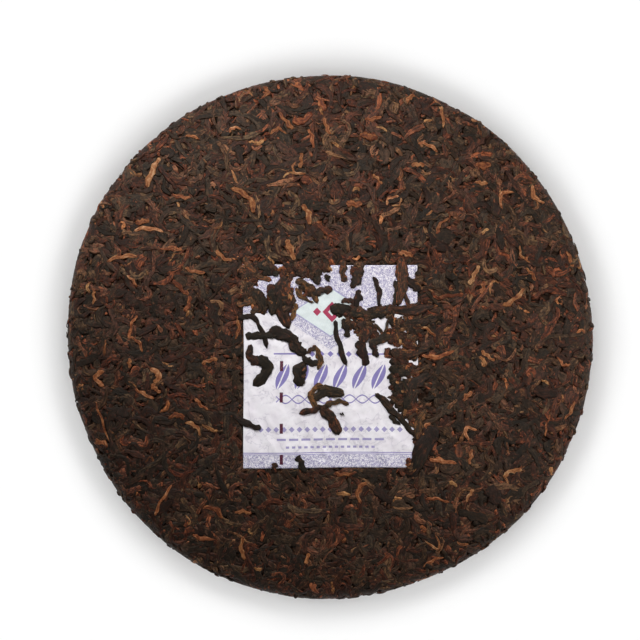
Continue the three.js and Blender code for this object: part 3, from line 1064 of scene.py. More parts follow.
@dataclass(frozen=True)
class LeafKind:
    """One kind of leaf that is scattered over the cake, and how its leaves vary.

    The pairs are the least and the most of a leaf's length, width, thickness and lift. The
    bend, sway, hook and crook turn its heading, in radians, and the steps are the points of
    its course that lie between two stations of the blank.
    """

    name: str
    blank: LeafBlank
    finish: LeafFinish
    on_top: int
    underneath: int
    length: Pair
    width: Pair
    thickness: Pair
    lift: Pair
    bend: float = 1.0
    sway: float = 0.5
    hook: float = 0.0
    hook_from: float = 0.62
    roll: float = 0.35
    taper: float = 0.5
    crook: float = 0.16
    ragged: float = 0.14
    give: float = 0.26
    short_more: float = 1.3
    steps: int = 4
    from_middle: float = 0.0
    covers: bool = False
    # Painted light and shade, added to each leaf's random tone.
    painted_light: PaintedLightDrift = PaintedLightDrift()
    seed: int = 1

    def lines(self, side: Side, surface: CakeSurface, ticket: Ticket) -> LeafLines:
        """Draws the centre lines of this kind's leaves on one side.

        Args:
            side: The side of the cake.
            surface: The cake's surface.
            ticket: The sheet that the leaves stay clear of.

        Returns:
            The leaves' lines.
        """
        draw = np.random.default_rng([self.seed, side.value])
        count = self.on_top if side is Side.TOP else self.underneath
        number = np.arange(count)
        spread = (number + draw.uniform(0.1, 0.9, count)) / count
        nearest = self.from_middle**2
        away = surface.reach(side) * np.sqrt(nearest + (1 - nearest) * spread)
        angle = number * GOLDEN_ANGLE + draw.uniform(0, TURN) + draw.normal(0, 0.05, count)
        x, y = away * np.cos(angle), away * np.sin(angle)
        if side is Side.TOP:
            open_leaf = ~ticket.inside(x, y, -ticket.tuck)
            x, y = x[open_leaf], y[open_leaf]
        return self.at(side, np.stack([x, y], axis=-1), draw)

    def _course(self, middles: np.ndarray, draw: np.random.Generator) -> Arrays:
        """Draws how each leaf bends along its length.

        Args:
            middles: Where the leaves' middles are.
            draw: The source of random draws.

        Returns:
            The path and the heading at each station, and each leaf's length.
        """
        count, stations = len(middles), self.blank.stations
        column = (count, 1)
        share = np.linspace(0, 1, stations * self.steps + 1)[None, :]
        shortest, longest = self.length
        length = draw.uniform(0, 1, count) ** self.short_more * (longest - shortest) + shortest
        turn = draw.uniform(0, TURN, column)
        bend = draw.normal(0, self.bend, column)
        sway = draw.normal(0, self.sway, column)
        hook = draw.choice([-1, 0, 1], column) * draw.uniform(0.4, 1.0, column) * self.hook
        crook = np.cumsum(draw.normal(0, self.crook, (count, stations + 1)), axis=1)
        heading = turn + bend * (share - 0.5) + sway * np.sin(TURN * share)
        heading = heading + hook * smooth_step(self.hook_from, 1.0, share)
        heading = heading + np.repeat(crook, self.steps, axis=1)[:, :share.size]
        step = length[:, None] / (stations * self.steps)
        way = np.stack([np.cos(heading), np.sin(heading)], axis=-1) * step[..., None]
        path = np.cumsum(way, axis=1)
        path = path - path.mean(axis=1, keepdims=True) + middles[:, None, :]
        return path[:, ::self.steps], heading[:, ::self.steps], length

    def at(self, side: Side, middles: np.ndarray, draw: np.random.Generator,
           lift: float = 0.0) -> LeafLines:
        """Draws leaves of this kind at given places.

        Args:
            side: The side of the cake.
            middles: Where the leaves' middles are, on that side's map.
            draw: The source of random draws.
            lift: How much higher than usual they lie.

        Returns:
            The leaves' lines.
        """
        path, heading, length = self._course(middles, draw)
        count = len(middles)
        column = (count, 1)
        station = np.linspace(0, 1, self.blank.stations + 1)[None, :]
        belly = station ** draw.uniform(0.7, 1.45, column)
        fill = np.sin(math.pi * np.clip(belly, 0, 1)) ** self.taper
        phase = draw.uniform(0, TURN, (count, 4))[:, :, None]
        lumps = 1 + 0.2 * np.sin(9 * station + phase[:, 0])
        lumps = lumps + 0.12 * np.sin(17 * station + phase[:, 1])
        lumps = lumps * np.clip(1 + draw.normal(0, self.ragged, lumps.shape), 0.55, 1.5)
        swell = 1 + 0.22 * np.sin(8 * station + phase[:, 2])
        half_width = draw.uniform(*self.width, column) / 2 * fill * lumps
        thickness = draw.uniform(*self.thickness, column) * (0.35 + 0.65 * fill) * swell
        thickness = thickness * (fill > 1e-6)
        roll = draw.normal(0, self.roll, column)
        roll = roll + draw.normal(0, self.roll, column) * (station - 0.5)
        height = draw.uniform(*self.lift, column) + lift
        height = height - 0.2 * np.abs(2 * station - 1) ** 3
        height = height + 0.04 * np.sin(6 * station + phase[:, 3])
        # A random tone, plus the painted light and shade of the leaf's place.
        tone = draw.uniform(0, 1, count) + self.painted_light.at(*middles.T)
        return LeafLines(side, path, heading, half_width, thickness, roll, height, length, tone,
                         draw.uniform(0, 1, count), self.give)


class LeafColours:
    """The finishes of the leaf kinds, from nearly black to golden."""

    black = LeafFinish("black_leaf", (
        (0.1, paint(26, 17, 11)), (0.5, paint(47, 31, 21)), (0.9, paint(83, 59, 44))))
    brown = LeafFinish("brown_leaf", (
        (0.1, paint(31, 19, 12)), (0.5, paint(63, 39, 26)), (0.9, paint(116, 82, 57))))
    russet = LeafFinish("russet_leaf", (
        (0.1, paint(44, 22, 14)), (0.5, paint(90, 53, 33)), (0.9, paint(146, 101, 68))), 0.5,
        swing=0.75)
    golden = LeafFinish("golden_bud", (
        (0.1, paint(76, 41, 22)), (0.5, paint(140, 90, 51)), (0.9, paint(194, 142, 94))), 0.46,
        swing=0.4)
    stem = LeafFinish("leaf_stem", (
        (0.1, paint(42, 27, 18)), (0.5, paint(76, 51, 34)), (0.9, paint(120, 87, 59))), 0.55)
    bright = LeafFinish("bright_leaf", (
        (0.12, paint(82, 37, 20)), (0.42, paint(126, 71, 39)), (0.7, paint(151, 100, 62)),
        (0.97, paint(184, 140, 101))), 0.5, spread=0.8, swing=0.35)
    cover = LeafFinish("cover_leaf", (
        (0.08, paint(25, 19, 14)), (0.35, paint(46, 34, 25)), (0.6, paint(74, 50, 33)),
        (0.9, paint(126, 80, 46))), 0.55, spread=0.8)


LEAF_KINDS = (
    LeafKind("broad_flakes", Blanks.flake, LeafColours.black, 1100, 520, (6, 13), (2.8, 6.0),
             (0.2, 0.36), (-0.35, 0.28), bend=0.7, sway=0.35, roll=0.05, taper=0.34, seed=10),
    LeafKind("brown_flakes", Blanks.flake, LeafColours.brown, 760, 380, (4.5, 10), (2.2, 4.8),
             (0.2, 0.36), (-0.35, 0.26), bend=0.8, sway=0.35, roll=0.05, taper=0.34, seed=11),
    LeafKind("dark_strips", Blanks.strip, LeafColours.black, 1450, 720, (9, 20), (1.5, 3.1),
             (0.26, 0.46), (-0.3, 0.36), bend=1.1, sway=0.6, hook=1.2, roll=0.07, taper=0.32,
             covers=True, seed=12),
    LeafKind("brown_strips", Blanks.strip, LeafColours.brown, 1400, 700, (8, 18), (1.3, 2.8),
             (0.26, 0.46), (-0.3, 0.36), bend=1.1, sway=0.6, hook=1.2, roll=0.07, taper=0.32,
             covers=True, seed=13),
    LeafKind("russet_strips", Blanks.strip, LeafColours.russet, 600, 350, (5.5, 14), (1.0, 2.4),
             (0.26, 0.44), (-0.2, 0.36), bend=1.2, sway=0.7, hook=1.5, roll=0.08, taper=0.36,
             covers=True, seed=14),
    LeafKind("golden_buds", Blanks.bud, LeafColours.golden, 100, 140, (4, 9), (0.9, 1.8),
             (0.28, 0.44), (0.0, 0.4), bend=1.0, sway=0.6, hook=1.8, roll=0.1, taper=0.4,
             covers=True, seed=15),
    LeafKind("stems", Blanks.stem, LeafColours.stem, 320, 160, (5, 14), (0.5, 1.0),
             (0.25, 0.4), (-0.1, 0.36), bend=0.6, sway=0.3, roll=0.1, taper=0.25, seed=16),
    LeafKind("crumbs", Blanks.crumb, LeafColours.brown, 2000, 1200, (1.2, 3), (0.8, 1.7),
             (0.25, 0.45), (-0.2, 0.25), bend=0.4, sway=0.2, roll=0.15, taper=0.4, seed=17),
    LeafKind("dark_crumbs", Blanks.crumb, LeafColours.black, 1500, 700, (1.4, 4), (0.8, 1.8),
             (0.25, 0.45), (0.1, 0.45), bend=0.6, sway=0.3, roll=0.15, taper=0.4, seed=19),
    LeafKind("russet_crumbs", Blanks.crumb, LeafColours.russet, 1300, 600, (1.2, 3.6), (0.7, 1.5),
             (0.25, 0.45), (0.1, 0.45), bend=0.6, sway=0.3, roll=0.15, taper=0.4, seed=20),
    LeafKind("rim_bits", Blanks.bud, LeafColours.brown, 220, 160, (2.4, 7), (0.8, 1.9),
             (0.28, 0.5), (-0.1, 0.5), bend=1.2, sway=0.7, hook=1.7, roll=0.3, taper=0.4,
             give=0.9, from_middle=0.93, seed=18),
)


@dataclass(frozen=True)
class Stroke:
    """One drawn leaf: its start, middle and end, width and lightness."""

    start: Pair
    via: Pair
    end: Pair
    width: float
    tone: float

    @classmethod
    def rows(cls, *rows: tuple[Pair, Pair, Pair, float, float]) -> tuple["Stroke", ...]:
        """One stroke from each row."""
        return tuple(cls(*row) for row in rows)


@dataclass(frozen=True)
class Patch:
    """A part of the ticket that small leaves cover, as an ellipse."""

    middle: Pair
    reach: Pair

    @classmethod
    def rows(cls, *rows: tuple[Pair, Pair]) -> tuple["Patch", ...]:
        """One patch from each row."""
        return tuple(cls(*row) for row in rows)


@dataclass
class DrawnLeaves:
    """Leaves that are drawn one by one, each bent along a stroke seen from above."""

    press: LeafPress
    finish: LeafFinish
    over_paper: bool
    lift: float
    give: float
    blank: LeafBlank = Blanks.large
    thickness: float = 0.5
    blunt: float = 0.25
    ragged: float = 0.055
    unsteady: float = 0.03
    straight_from: float = 3.4

    def _course(self, strokes: Sequence[Stroke]) -> Arrays:
        """Follows each stroke over the surface.

        Args:
            strokes: The strokes.

        Returns:
            The path and the heading at each station, and each leaf's length.
        """
        share = np.linspace(0, 1, self.blank.stations + 1)[None, :, None]
        start, via, end = (np.array([getattr(s, key) for s in strokes], float)[:, None, :]
                           for key in ("start", "via", "end"))
        pull = 2 * via - (start + end) / 2
        plan = (1 - share) ** 2 * start + 2 * (1 - share) * share * pull + share**2 * end
        path = self.press.surface.unrolled(plan)
        way = np.gradient(path, axis=1)
        length = np.hypot(*np.moveaxis(np.diff(path, axis=1), -1, 0)).sum(axis=1)
        return path, np.arctan2(way[..., 1], way[..., 0]), length

    def make(self, name: str, strokes: Sequence[Stroke],
             draw: np.random.Generator) -> bpy.types.Object:
        """Makes one creased leaf along each stroke.

        Args:
            name: The piece's name.
            strokes: The strokes.
            draw: The source of random draws.

        Returns:
            The piece.
        """
        path, heading, length = self._course(strokes)
        count = len(strokes)
        station = np.linspace(0, 1, self.blank.stations + 1)[None, :]
        phase = draw.uniform(0, TURN, (count, 5))[:, :, None]
        fill = np.sin(math.pi * station) ** self.blunt
        lumps = 1 + 0.16 * np.sin(7 * station + phase[:, 0])
        lumps = lumps + 0.12 * np.sin(15 * station + phase[:, 1])
        lumps = lumps + 0.07 * np.sin(29 * station + phase[:, 2])
        lumps = lumps * np.clip(1 + draw.normal(0, self.ragged, lumps.shape), 0.6, 1.4)
        width = np.array([s.width for s in strokes])[:, None]
        lumps = 1 + (lumps - 1) * np.minimum(1, self.straight_from / width)
        half_width = width / 2 * fill * lumps
        thickness = self.thickness * fill * (1 + 0.25 * np.sin(11 * station + phase[:, 3]))
        shake = draw.normal(0, self.unsteady, lumps.shape)
        wobble = 0.3 * np.sin(13 * station + phase[:, 4])
        wobble = wobble + shake * np.minimum(width, self.straight_from)
        wobble = wobble * np.sin(math.pi * station)
        sideways = np.stack([-np.sin(heading), np.cos(heading)], axis=-1)
        path = path + sideways * wobble[..., None]
        roll = 0.15 * np.sin(9 * station + phase[:, 2])
        height = self.lift + 0.1 * np.sin(5 * station + phase[:, 0])
        tone = np.array([s.tone for s in strokes])
        lines = LeafLines(Side.TOP, path, heading, half_width, thickness, roll, height, length,
                          tone, draw.uniform(0.2, 0.8, count), self.give)
        return self.press.join(name, self.blank, [lines], self.finish, over_paper=self.over_paper)


@dataclass
class StandOutLeaves(DrawnLeaves):
    """The leaves that stand out over the cake: bright ones, and a few large dark ones."""

    finish: LeafFinish = LeafColours.bright
    over_paper: bool = False
    lift: float = 0.56
    give: float = 0.3
    dark_lower: float = 0.12

    bright: tuple[Stroke, ...] = Stroke.rows(
        ((-68, 55.5), (-66, 62), (-63, 67), 2.3, 0.8),
        ((-83.5, 28), (-78, 30), (-71.5, 30), 1.7, 0.75),
        ((-73, 39.5), (-68, 40.5), (-61.5, 39), 1.6, 0.8),
        ((-72.5, 42.5), (-69.5, 43), (-67, 43.5), 2, 0.5),
        ((-37, 55.5), (-30, 52), (-28.5, 46), 2.4, 0.55),
        ((-10.5, 49.5), (-8, 47), (-7.5, 42), 2.3, 0.6),
        ((-16, 36.5), (-14.5, 33), (-13, 28.5), 2.3, 0.7),
        ((-30.5, 30), (-30, 25), (-28, 19.5), 1.8, 0.55),
        ((-27.5, 29.5), (-26, 23.5), (-20.5, 21), 1.4, 0.62),
        ((-8, 78.5), (-6.5, 75.5), (-6, 71), 1.4, 0.55),
        ((-19, 85), (-16, 81), (-13.5, 78.5), 1.8, 0.5),
        ((-13.5, 82.5), (-10.5, 81.5), (-6.5, 85), 3.1, 0.3),
        ((-22, 76), (-19.5, 78.5), (-16, 76.5), 1.2, 0.55),
        ((-17.5, 97), (-13.5, 96), (-9.5, 93), 2, 0.5),
        ((-25, 94.5), (-23, 92), (-27.5, 90), 1.9, 0.35),
        ((-5, 91), (-3, 88.5), (-1.5, 85.5), 2.3, 0.45),
        ((-2, 83), (-1, 79.5), (0.5, 76.5), 1.5, 0.6),
        ((-37.5, 76.5), (-36, 78.5), (-33, 78), 1.2, 0.7),
        ((-8.5, 61.5), (-13.5, 62.5), (-12.5, 66), 1, 0.85),
        ((-10.5, 69.5), (-10.5, 67), (-11, 63.5), 1.6, 0.55),
        ((-58.5, 53), (-54.5, 52), (-51.5, 52), 1.5, 0.5),
        ((-85.5, 52), (-85, 50), (-84, 48), 1.4, 0.8),
        ((-42, 32.5), (-39.5, 29.5), (-36, 28.5), 1.6, 0.6),
        ((-63.5, 32.5), (-58.5, 33), (-54.5, 32), 1.4, 0.55),
        ((-53.5, 26), (-51, 24.5), (-46, 24), 1.5, 0.6),
        ((-58.5, 21.5), (-55, 17.5), (-52.5, 16), 1.9, 0.3),
        ((-52.5, 15.5), (-52.5, 12.5), (-54.5, 9.5), 1.8, 0.35),
        ((-76, 23), (-73.5, 21), (-72, 18.5), 1, 0.7),
        ((-89, 18.5), (-88.5, 15.5), (-89, 12), 1.1, 0.65),
        ((-72, 8), (-74.5, 4.5), (-75.5, -1), 1.2, 0.6),
        ((-34.5, 8), (-34, 3), (-35.5, -1), 1.2, 0.6),
        ((22, 49.5), (22.5, 52), (26.5, 53), 1, 1),
        ((23.5, 49.5), (26.5, 50), (27, 52.5), 0.8, 0.95),
        ((33.5, 73), (37.5, 72.5), (41, 69.5), 1.4, 0.7),
        ((39, 90.5), (42.5, 85.5), (43, 78.5), 1.2, 0.7),
        ((29, 88.5), (30.5, 90.5), (32.5, 91.5), 1.9, 0.6),
        ((13.5, 82.5), (16.5, 82.5), (20, 83.5), 1.4, 0.6),
        ((11.5, 76.5), (15, 76), (18.5, 75), 3, 0.3),
        ((53.5, 81.5), (56.5, 81), (58.5, 78.5), 1.8, 0.7),
        ((31, 64.5), (33.5, 65), (36, 64.5), 1.9, 0.6),
        ((6.5, 51), (9.5, 50), (12.5, 50.5), 2.6, 0.5),
        ((16.5, 61.5), (18.5, 59.5), (20, 57.5), 1.1, 0.7),
        ((55, 58.5), (57.5, 58), (60, 58), 1.6, 0.6),
        ((55.5, 65.5), (58.5, 64.5), (61, 65.5), 2.7, 0.35),
        ((65.5, 48), (65, 53.5), (70, 54.5), 1.4, 0.75),
        ((77, 57.5), (77.5, 53), (81.5, 50.5), 1.8, 0.75),
        ((26, 31), (28.5, 31.5), (31.5, 30), 2, 0.65),
        ((52.5, 19.5), (54.5, 23), (56.5, 27), 1.8, 0.85),
        ((65, 12), (69, 13.5), (73.5, 18.5), 1.9, 0.65),
        ((57, 16), (58, 18.5), (58, 21), 2, 0.5),
        ((74, 26), (76.5, 23.5), (77.5, 21), 1.4, 0.6),
        ((89.5, 32.5), (91, 29), (91.5, 25.5), 1.4, 0.6),
        ((41, 14.5), (45.5, 15.5), (50.5, 15.5), 1.5, 0.15),
        ((33.5, 10), (37.5, 11.5), (41, 11.5), 1.1, 0.6),
        ((33.5, 4), (36.5, 3), (40, 0), 1.4, 0.65),
        ((41, 39.5), (41.5, 42), (45.5, 45), 1.1, 0.55),
        ((72, 34.5), (72.5, 30.5), (76, 28), 0.9, 0.7),
        ((-85, -13), (-88.5, -15.5), (-85, -19), 2, 0.6),
        ((-68, -12), (-64.5, -14.5), (-66.5, -17.5), 2.4, 0.6),
        ((-66.5, -17.5), (-66, -19.5), (-63.5, -21), 1.9, 0.55),
        ((-48, -10.5), (-45.5, -9), (-42, -8.5), 1.6, 0.65),
        ((-75.5, -8), (-75.5, -10), (-75.5, -12), 1.4, 0.7),
        ((-73.5, -19.5), (-70.5, -21.5), (-66, -23.5), 1.4, 0.6),
        ((-88.5, -24.5), (-87, -29.5), (-83, -40.5), 0.8, 0.5),
        ((-61, -31), (-57, -29.5), (-55, -31.5), 1.9, 0.3),
        ((-54.5, -32.5), (-50.5, -33.5), (-48.5, -37.5), 1.5, 0.7),
        ((-50.5, -23), (-48.5, -25.5), (-45.5, -27.5), 1.2, 0.6),
        ((-65.5, -67.5), (-63.5, -62.5), (-59, -55.5), 1.2, 0.65),
        ((-47.5, -64.5), (-43, -64.5), (-40, -68.5), 1.9, 0.3),
        ((-35.5, -66), (-32, -65.5), (-29.5, -66.5), 1.4, 0.6),
        ((-51, -74), (-48.5, -75.5), (-42.5, -76), 1.5, 0.55),
        ((-32, -75), (-33, -79.5), (-31.5, -84), 1.6, 0.6),
        ((-52.5, -85), (-50.5, -84.5), (-48.5, -84), 1.4, 0.75),
        ((-89, -40.5), (-86.5, -40), (-84, -42), 2.3, 0.4),
        ((-76, -0.5), (-72.5, -1.5), (-70.5, -6), 1.2, 0.5),
        ((34.5, -6.5), (40, -7.5), (47, -5), 1.8, 0.6),
        ((57, -5), (59, -7), (62, -9), 1.5, 0.7),
        ((85.5, -7.5), (88, -10.5), (90.5, -10), 1.2, 0.7),
        ((50, -24), (51.5, -22), (53.5, -20.5), 1.8, 0.55),
        ((88, -31), (90.5, -28), (92, -24), 1.2, 0.6),
        ((81, -37.5), (81.5, -33), (83, -29), 0.7, 0.7),
        ((52.5, -39), (51, -34.5), (55.5, -35), 1.5, 0.85),
        ((37.5, -46), (42, -46.5), (48, -47.5), 1.9, 0.7),
        ((65.5, -53), (68, -50.5), (72.5, -50), 1.8, 0.7),
        ((51.5, -62.5), (53, -59), (54.5, -57.5), 1.2, 0.8),
        ((36, -77), (41.5, -80), (40, -74.5), 0.9, 0.7),
        ((35.5, -87.5), (39.5, -84.5), (43.5, -83.5), 1.1, 0.7),
        ((12, -63), (11, -58), (14.5, -55), 1.8, 0.5),
        ((34.5, -36), (36, -33.5), (38, -32), 1.5, 0.7),
        ((36.5, -61.5), (40, -61), (45.5, -62.5), 1.2, 0.5),
        ((53.5, -42), (53, -45), (52.5, -48), 1.4, 0.65),
        ((2, -51), (5.5, -52), (10.5, -51), 1.5, 0.4),
    )

    dark: tuple[Stroke, ...] = Stroke.rows(
        ((-35, 71.5), (-33.5, 69), (-33.5, 64.5), 3.5, 0.1),
        ((-63, 70), (-60.5, 69), (-57.5, 68.5), 4.1, 0.3),
        ((35, 90), (36.5, 86.5), (39, 83), 3.5, 0.25),
        ((63.5, 41.5), (64.5, 37), (65, 32.5), 3.1, 0.15),
        ((39, 50.5), (41, 48), (43.5, 49.5), 4.1, 0.75),
        ((-41.5, 1), (-39, -0.5), (-38, -3.5), 4.1, 0.1),
        ((-80, -27.5), (-78, -28.5), (-75.5, -29), 4.7, 0.15),
        ((-18.5, -74), (-16.5, -76), (-13.5, -75.5), 3.5, 0.75),
        ((60, -56), (62, -59.5), (63.5, -63), 5.8, 0.12),
        ((76.5, -19.5), (81, -21), (86, -21), 4.7, 0.1),
        ((48.5, -66), (54.5, -67.5), (60, -69.5), 3.7, 0.2),
        ((17, -57), (20.5, -60), (24, -62.5), 3.8, 0.1),
    )

    def build(self) -> None:
        """Makes the leaves, the dark ones a little lower."""
        draw = np.random.default_rng(41)
        self.make("bright_leaves", self.bright, draw)
        lower = replace(self, finish=LeafColours.black, lift=self.lift - self.dark_lower)
        lower.make("large_dark_leaves", self.dark, draw)


@dataclass
class CoverLeaves(DrawnLeaves):
    """The leaves that were pressed over the ticket's edges and its upper half."""

    finish: LeafFinish = LeafColours.cover
    over_paper: bool = True
    lift: float = 0.42
    give: float = 0.4
    crowd: float = 0.95
    shares: tuple[float, ...] = (0.36, 0.35, 0.2, 0.09)
    packed_in: float = 0.8
    small_length: Pair = (2.6, 5.6)
    small_lift: Pair = (-0.2, 0.1)
    narrower: float = 0.8

    rooted: tuple[Stroke, ...] = Stroke.rows(
        ((-31.5, 30), (-27.8, 24), (-21.2, 21), 2.4, 0.75),
        ((-25.5, 27.5), (-22.6, 24.6), (-18.6, 24.2), 3.6, 0.2),
        ((-22.6, 18.4), (-20.4, 15), (-21.6, 7.8), 5.0, 0.2),
        ((-30, 17.5), (-26.2, 14.6), (-24.6, 8.6), 4.2, 0.3),
        ((-35, 12.5), (-30, 13), (-26, 17.6), 2.6, 0.8),
        ((-15.4, 22.6), (-18.2, 15.2), (-15, 2.8), 5.0, 0.34),
        ((-13.6, 24), (-15.4, 19.6), (-15.8, 14), 2.4, 0.7),
        ((-12.6, 12.6), (-12.8, 9.6), (-14.6, 6), 2.0, 0.95),
        ((-12.8, 20.4), (-7.8, 19.2), (-4.4, 12.4), 2.8, 0.68),
        ((-12.2, 18.6), (-10.6, 15.2), (-5.6, 12.8), 1.6, 0.8),
        ((-6.2, 15.6), (-2.6, 17.4), (1.4, 17.8), 3.0, 0.42),
        ((-4.4, 27), (-4.6, 23), (-4.2, 19.4), 2.8, 0.3),
        ((-1.6, 23.4), (-0.6, 22.2), (-0.4, 20.8), 1.8, 0.15),
        ((5.4, 29), (5.2, 24.6), (5.8, 20.6), 2.8, 0.62),
        ((11.4, 27.6), (10.6, 22.6), (8.2, 18.2), 3.6, 0.25),
        ((11.2, 17.8), (10.8, 14.6), (9.8, 11), 2.8, 0.1),
        ((16.3, 22.6), (18.4, 18.2), (18.6, 11.2), 2.0, 0.14),
        ((26.8, 30), (27.4, 21), (25.6, 11.4), 4.6, 0.6),
        ((24.6, 21.4), (25.4, 16.4), (24, 11.6), 2.2, 0.3),
        ((29, 22.6), (31.6, 19.6), (34.4, 17.4), 3.2, 0.16),
        ((28.6, 16.8), (30.2, 11.8), (34.2, 13.4), 1.8, 0.5),
        ((0.4, 9.6), (5, 10.4), (9.6, 8.6), 4.6, 0.1),
        ((4.4, 12.8), (8, 13.6), (9.4, 9.8), 2.0, 0.42),
        ((8, 10.4), (14.4, 8.4), (24, 11.2), 4.2, 0.36),
        ((16, 11.2), (27, 9.8), (40, 11.8), 3.6, 0.34),
        ((2.4, 6.4), (3.2, -1), (6.6, -10.9), 2.2, 0.08),
        ((5.2, 7), (6.4, 3), (7, -0.3), 2.6, 0.08),
        ((11.4, 9), (13.4, 4), (12.2, -2.4), 5.2, 0.5),
        ((10.6, -1.4), (12.4, -5.6), (13.8, -11), 4.0, 0.12),
        ((16.2, -1.6), (16.8, -4.8), (18.2, -7.6), 2.6, 0.1),
        ((15, -3.4), (21, -0.4), (31, -1.2), 3.2, 0.4),
        ((17, 5.2), (20.6, 1.4), (21.6, 6.2), 1.4, 0.6),
        ((22, 7), (27.4, 4.6), (38, 6.4), 3.6, 0.3),
        ((23.4, -4.4), (28.2, -6.4), (38, -4), 3.6, 0.46),
        ((23, -10.6), (26.8, -13.4), (33.2, -11.6), 3.8, 0.2),
        ((22.6, -14.4), (25.4, -19), (24.4, -22.6), 4.0, 0.12),
        ((27.4, -15.4), (29.4, -21), (28, -28), 3.6, 0.3),
        ((38, -14), (31.6, -18.4), (32.4, -26), 4.4, 0.3),
        ((17.2, -21.2), (23.4, -27), (32.2, -37.4), 2.8, 0.32),
        ((22.6, -29.2), (24.2, -31), (26.8, -33), 1.8, 0.1),
        ((39.4, -33.4), (36, -40.6), (29.4, -53.2), 6.4, 0.1),
        ((34.6, -37.4), (35, -44), (31, -51), 4.4, 0.16),
        ((36.6, -27), (33.6, -32), (33.4, -39), 3.0, 0.72),
        ((-34.4, 6.4), (-27.6, 6.4), (-23.5, -4.6), 2.2, 0.06),
        ((-31.6, 0.9), (-25, 0.4), (-17.6, 3.2), 3.4, 0.12),
        ((-22.6, 2.6), (-17, 0.8), (-11.6, -1.8), 4.8, 0.16),
        ((-13.4, 1.2), (-12.6, -3.6), (-8.2, -6), 4.4, 0.22),
        ((-6, -3), (-3.4, -7.6), (-4.4, -12.4), 2.2, 0.8),
        ((-9, -6.2), (-6.4, -4.6), (-5, -3), 1.6, 0.6),
        ((-10, -6.4), (-7.4, -9.4), (-3.2, -9.2), 2.6, 0.1),
        ((-8.4, -10.6), (-11.4, -13.4), (-10, -18.4), 5.0, 0.1),
        ((-9, -10.8), (-9.4, -13.2), (-9.8, -15.6), 1.6, 0.75),
        ((-36, -29.4), (-29.6, -33), (-25.3, -33.8), 2.4, 0.05),
        ((-12.2, -44.8), (-10.8, -47), (-9, -51), 2.8, 0.12),
        ((-20.6, -47), (-20.4, -48.8), (-20.6, -51), 2.2, 0.3),
        ((4, -29.2), (4.8, -29), (5.6, -29.3), 0.8, 0.05),
    )
    left_group: tuple[Stroke, ...] = Stroke.rows(
        ((-29.2, -2.8), (-29.6, -7.6), (-24.8, -10.4), 3.2, 0.22),
        ((-27.4, -7.6), (-23.4, -12.4), (-28.8, -18.4), 4.8, 0.14),
    )
    middle_group: tuple[Stroke, ...] = Stroke.rows(
        ((-2.2, -18), (-6.6, -21), (-4.6, -27), 2.6, 0.85),
        ((-6.4, -24), (-1, -20.6), (5.8, -22), 4.4, 0.42),
        ((-11.3, -28.8), (-5, -27), (0, -25.8), 2.4, 0.3),
        ((-1.6, -26.6), (2.6, -24.4), (7.6, -25.6), 2.2, 0.66),
        ((-3.4, -26.4), (0.8, -30.8), (3.6, -37), 4.4, 0.4),
    )
    patches: tuple[Patch, ...] = Patch.rows(
        ((-29.8, 23.6), (3.6, 4.2)),
        ((-30.6, 16.6), (2.8, 4.4)),
        ((-23.4, 25.4), (3.4, 1.6)),
        ((-26, 12.6), (3, 4)),
        ((-20.6, 15.4), (2.4, 4)),
        ((-15.8, 13.8), (2.4, 6)),
        ((-15, 24.8), (4, 2.6)),
        ((-8, 25.4), (6, 2.6)),
        ((10.6, 24.8), (2, 3)),
        ((7.8, 9.2), (5, 2)),
        ((12.6, 4.8), (2.8, 4.6)),
        ((21, 9.4), (5, 1.6)),
        ((31.4, 6.4), (3, 4.4)),
        ((26, 4.4), (3, 1.6)),
        ((28.6, -1.2), (4.6, 2.6)),
        ((30.6, -5.4), (3.4, 3)),
        ((26.4, -9.4), (3, 2.2)),
        ((30.6, -12.6), (3.4, 2.6)),
        ((25.2, -17.4), (2, 3)),
        ((30.4, -19.4), (3.4, 3.8)),
        ((29.2, -26.4), (3.4, 3.6)),
        ((32.4, -31.4), (2, 4.6)),
        ((35, -40), (2, 6)),
        ((31.8, -48.4), (2.2, 2.2)),
        ((24.5, 0.6), (3, 3)),
        ((32.4, 1.4), (2.2, 3.4)),
        ((24.6, -13.6), (1.6, 2.4)),
        ((-1.5, 26.6), (3.4, 1.4)),
        ((33.4, 21), (1.2, 3.4)),
        ((-26.4, 25.6), (5.4, 2)),
        ((-30.4, 18), (3.6, 3)),
        ((-8.4, 17.4), (2, 2)),
        ((16.4, 2.4), (1.6, 2.2)),
        ((8, 5), (2.4, 1.6)),
        ((22, -6.4), (1.2, 1.4)),
        ((24.8, -23.4), (1.6, 2.6)),
        ((33.6, -37.6), (2, 4)),
    )

    def build(self) -> None:
        """Makes the leaves that grow out of the cake, and the two loose groups."""
        draw = np.random.default_rng(31)
        self._fill(draw)
        self.make("leaves_over_ticket", self.rooted, draw)
        for name, strokes in (("left_leaf_group", self.left_group),
                              ("middle_leaf_group", self.middle_group)):
            piece = self.make(name.replace("group", "curl"), strokes, draw)
            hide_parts(name)

    def _fill(self, draw: np.random.Generator) -> None:
        """Covers the patches with small leaves of the kinds that the cake shows.

        Args:
            draw: The source of random draws.
        """
        middles = []
        for patch in self.patches:
            count = round(math.pi * patch.reach[0] * patch.reach[1] * self.crowd)
            away = np.sqrt(draw.uniform(0, self.packed_in, count))
            angle = draw.uniform(0, TURN, count)
            offset = np.stack([np.cos(angle), np.sin(angle)], axis=-1) * away[:, None]
            middles.append(offset * patch.reach + patch.middle)
        places = draw.permutation(np.concatenate(middles))
        ends = np.round(np.cumsum(self.shares) * len(places)).astype(int)[:-1]
        kinds = [kind for kind in LEAF_KINDS if kind.covers]
        for kind, chosen in zip(kinds, np.split(places, ends)):
            thin, broad = kind.width
            small = replace(kind, length=self.small_length, width=(thin, broad * self.narrower),
                            lift=self.small_lift)
            lines = small.at(Side.TOP, chosen, draw, lift=self.lift)
            self.press.join(f"{kind.name}_over_ticket", kind.blank, [lines], kind.finish,
                            over_paper=True)


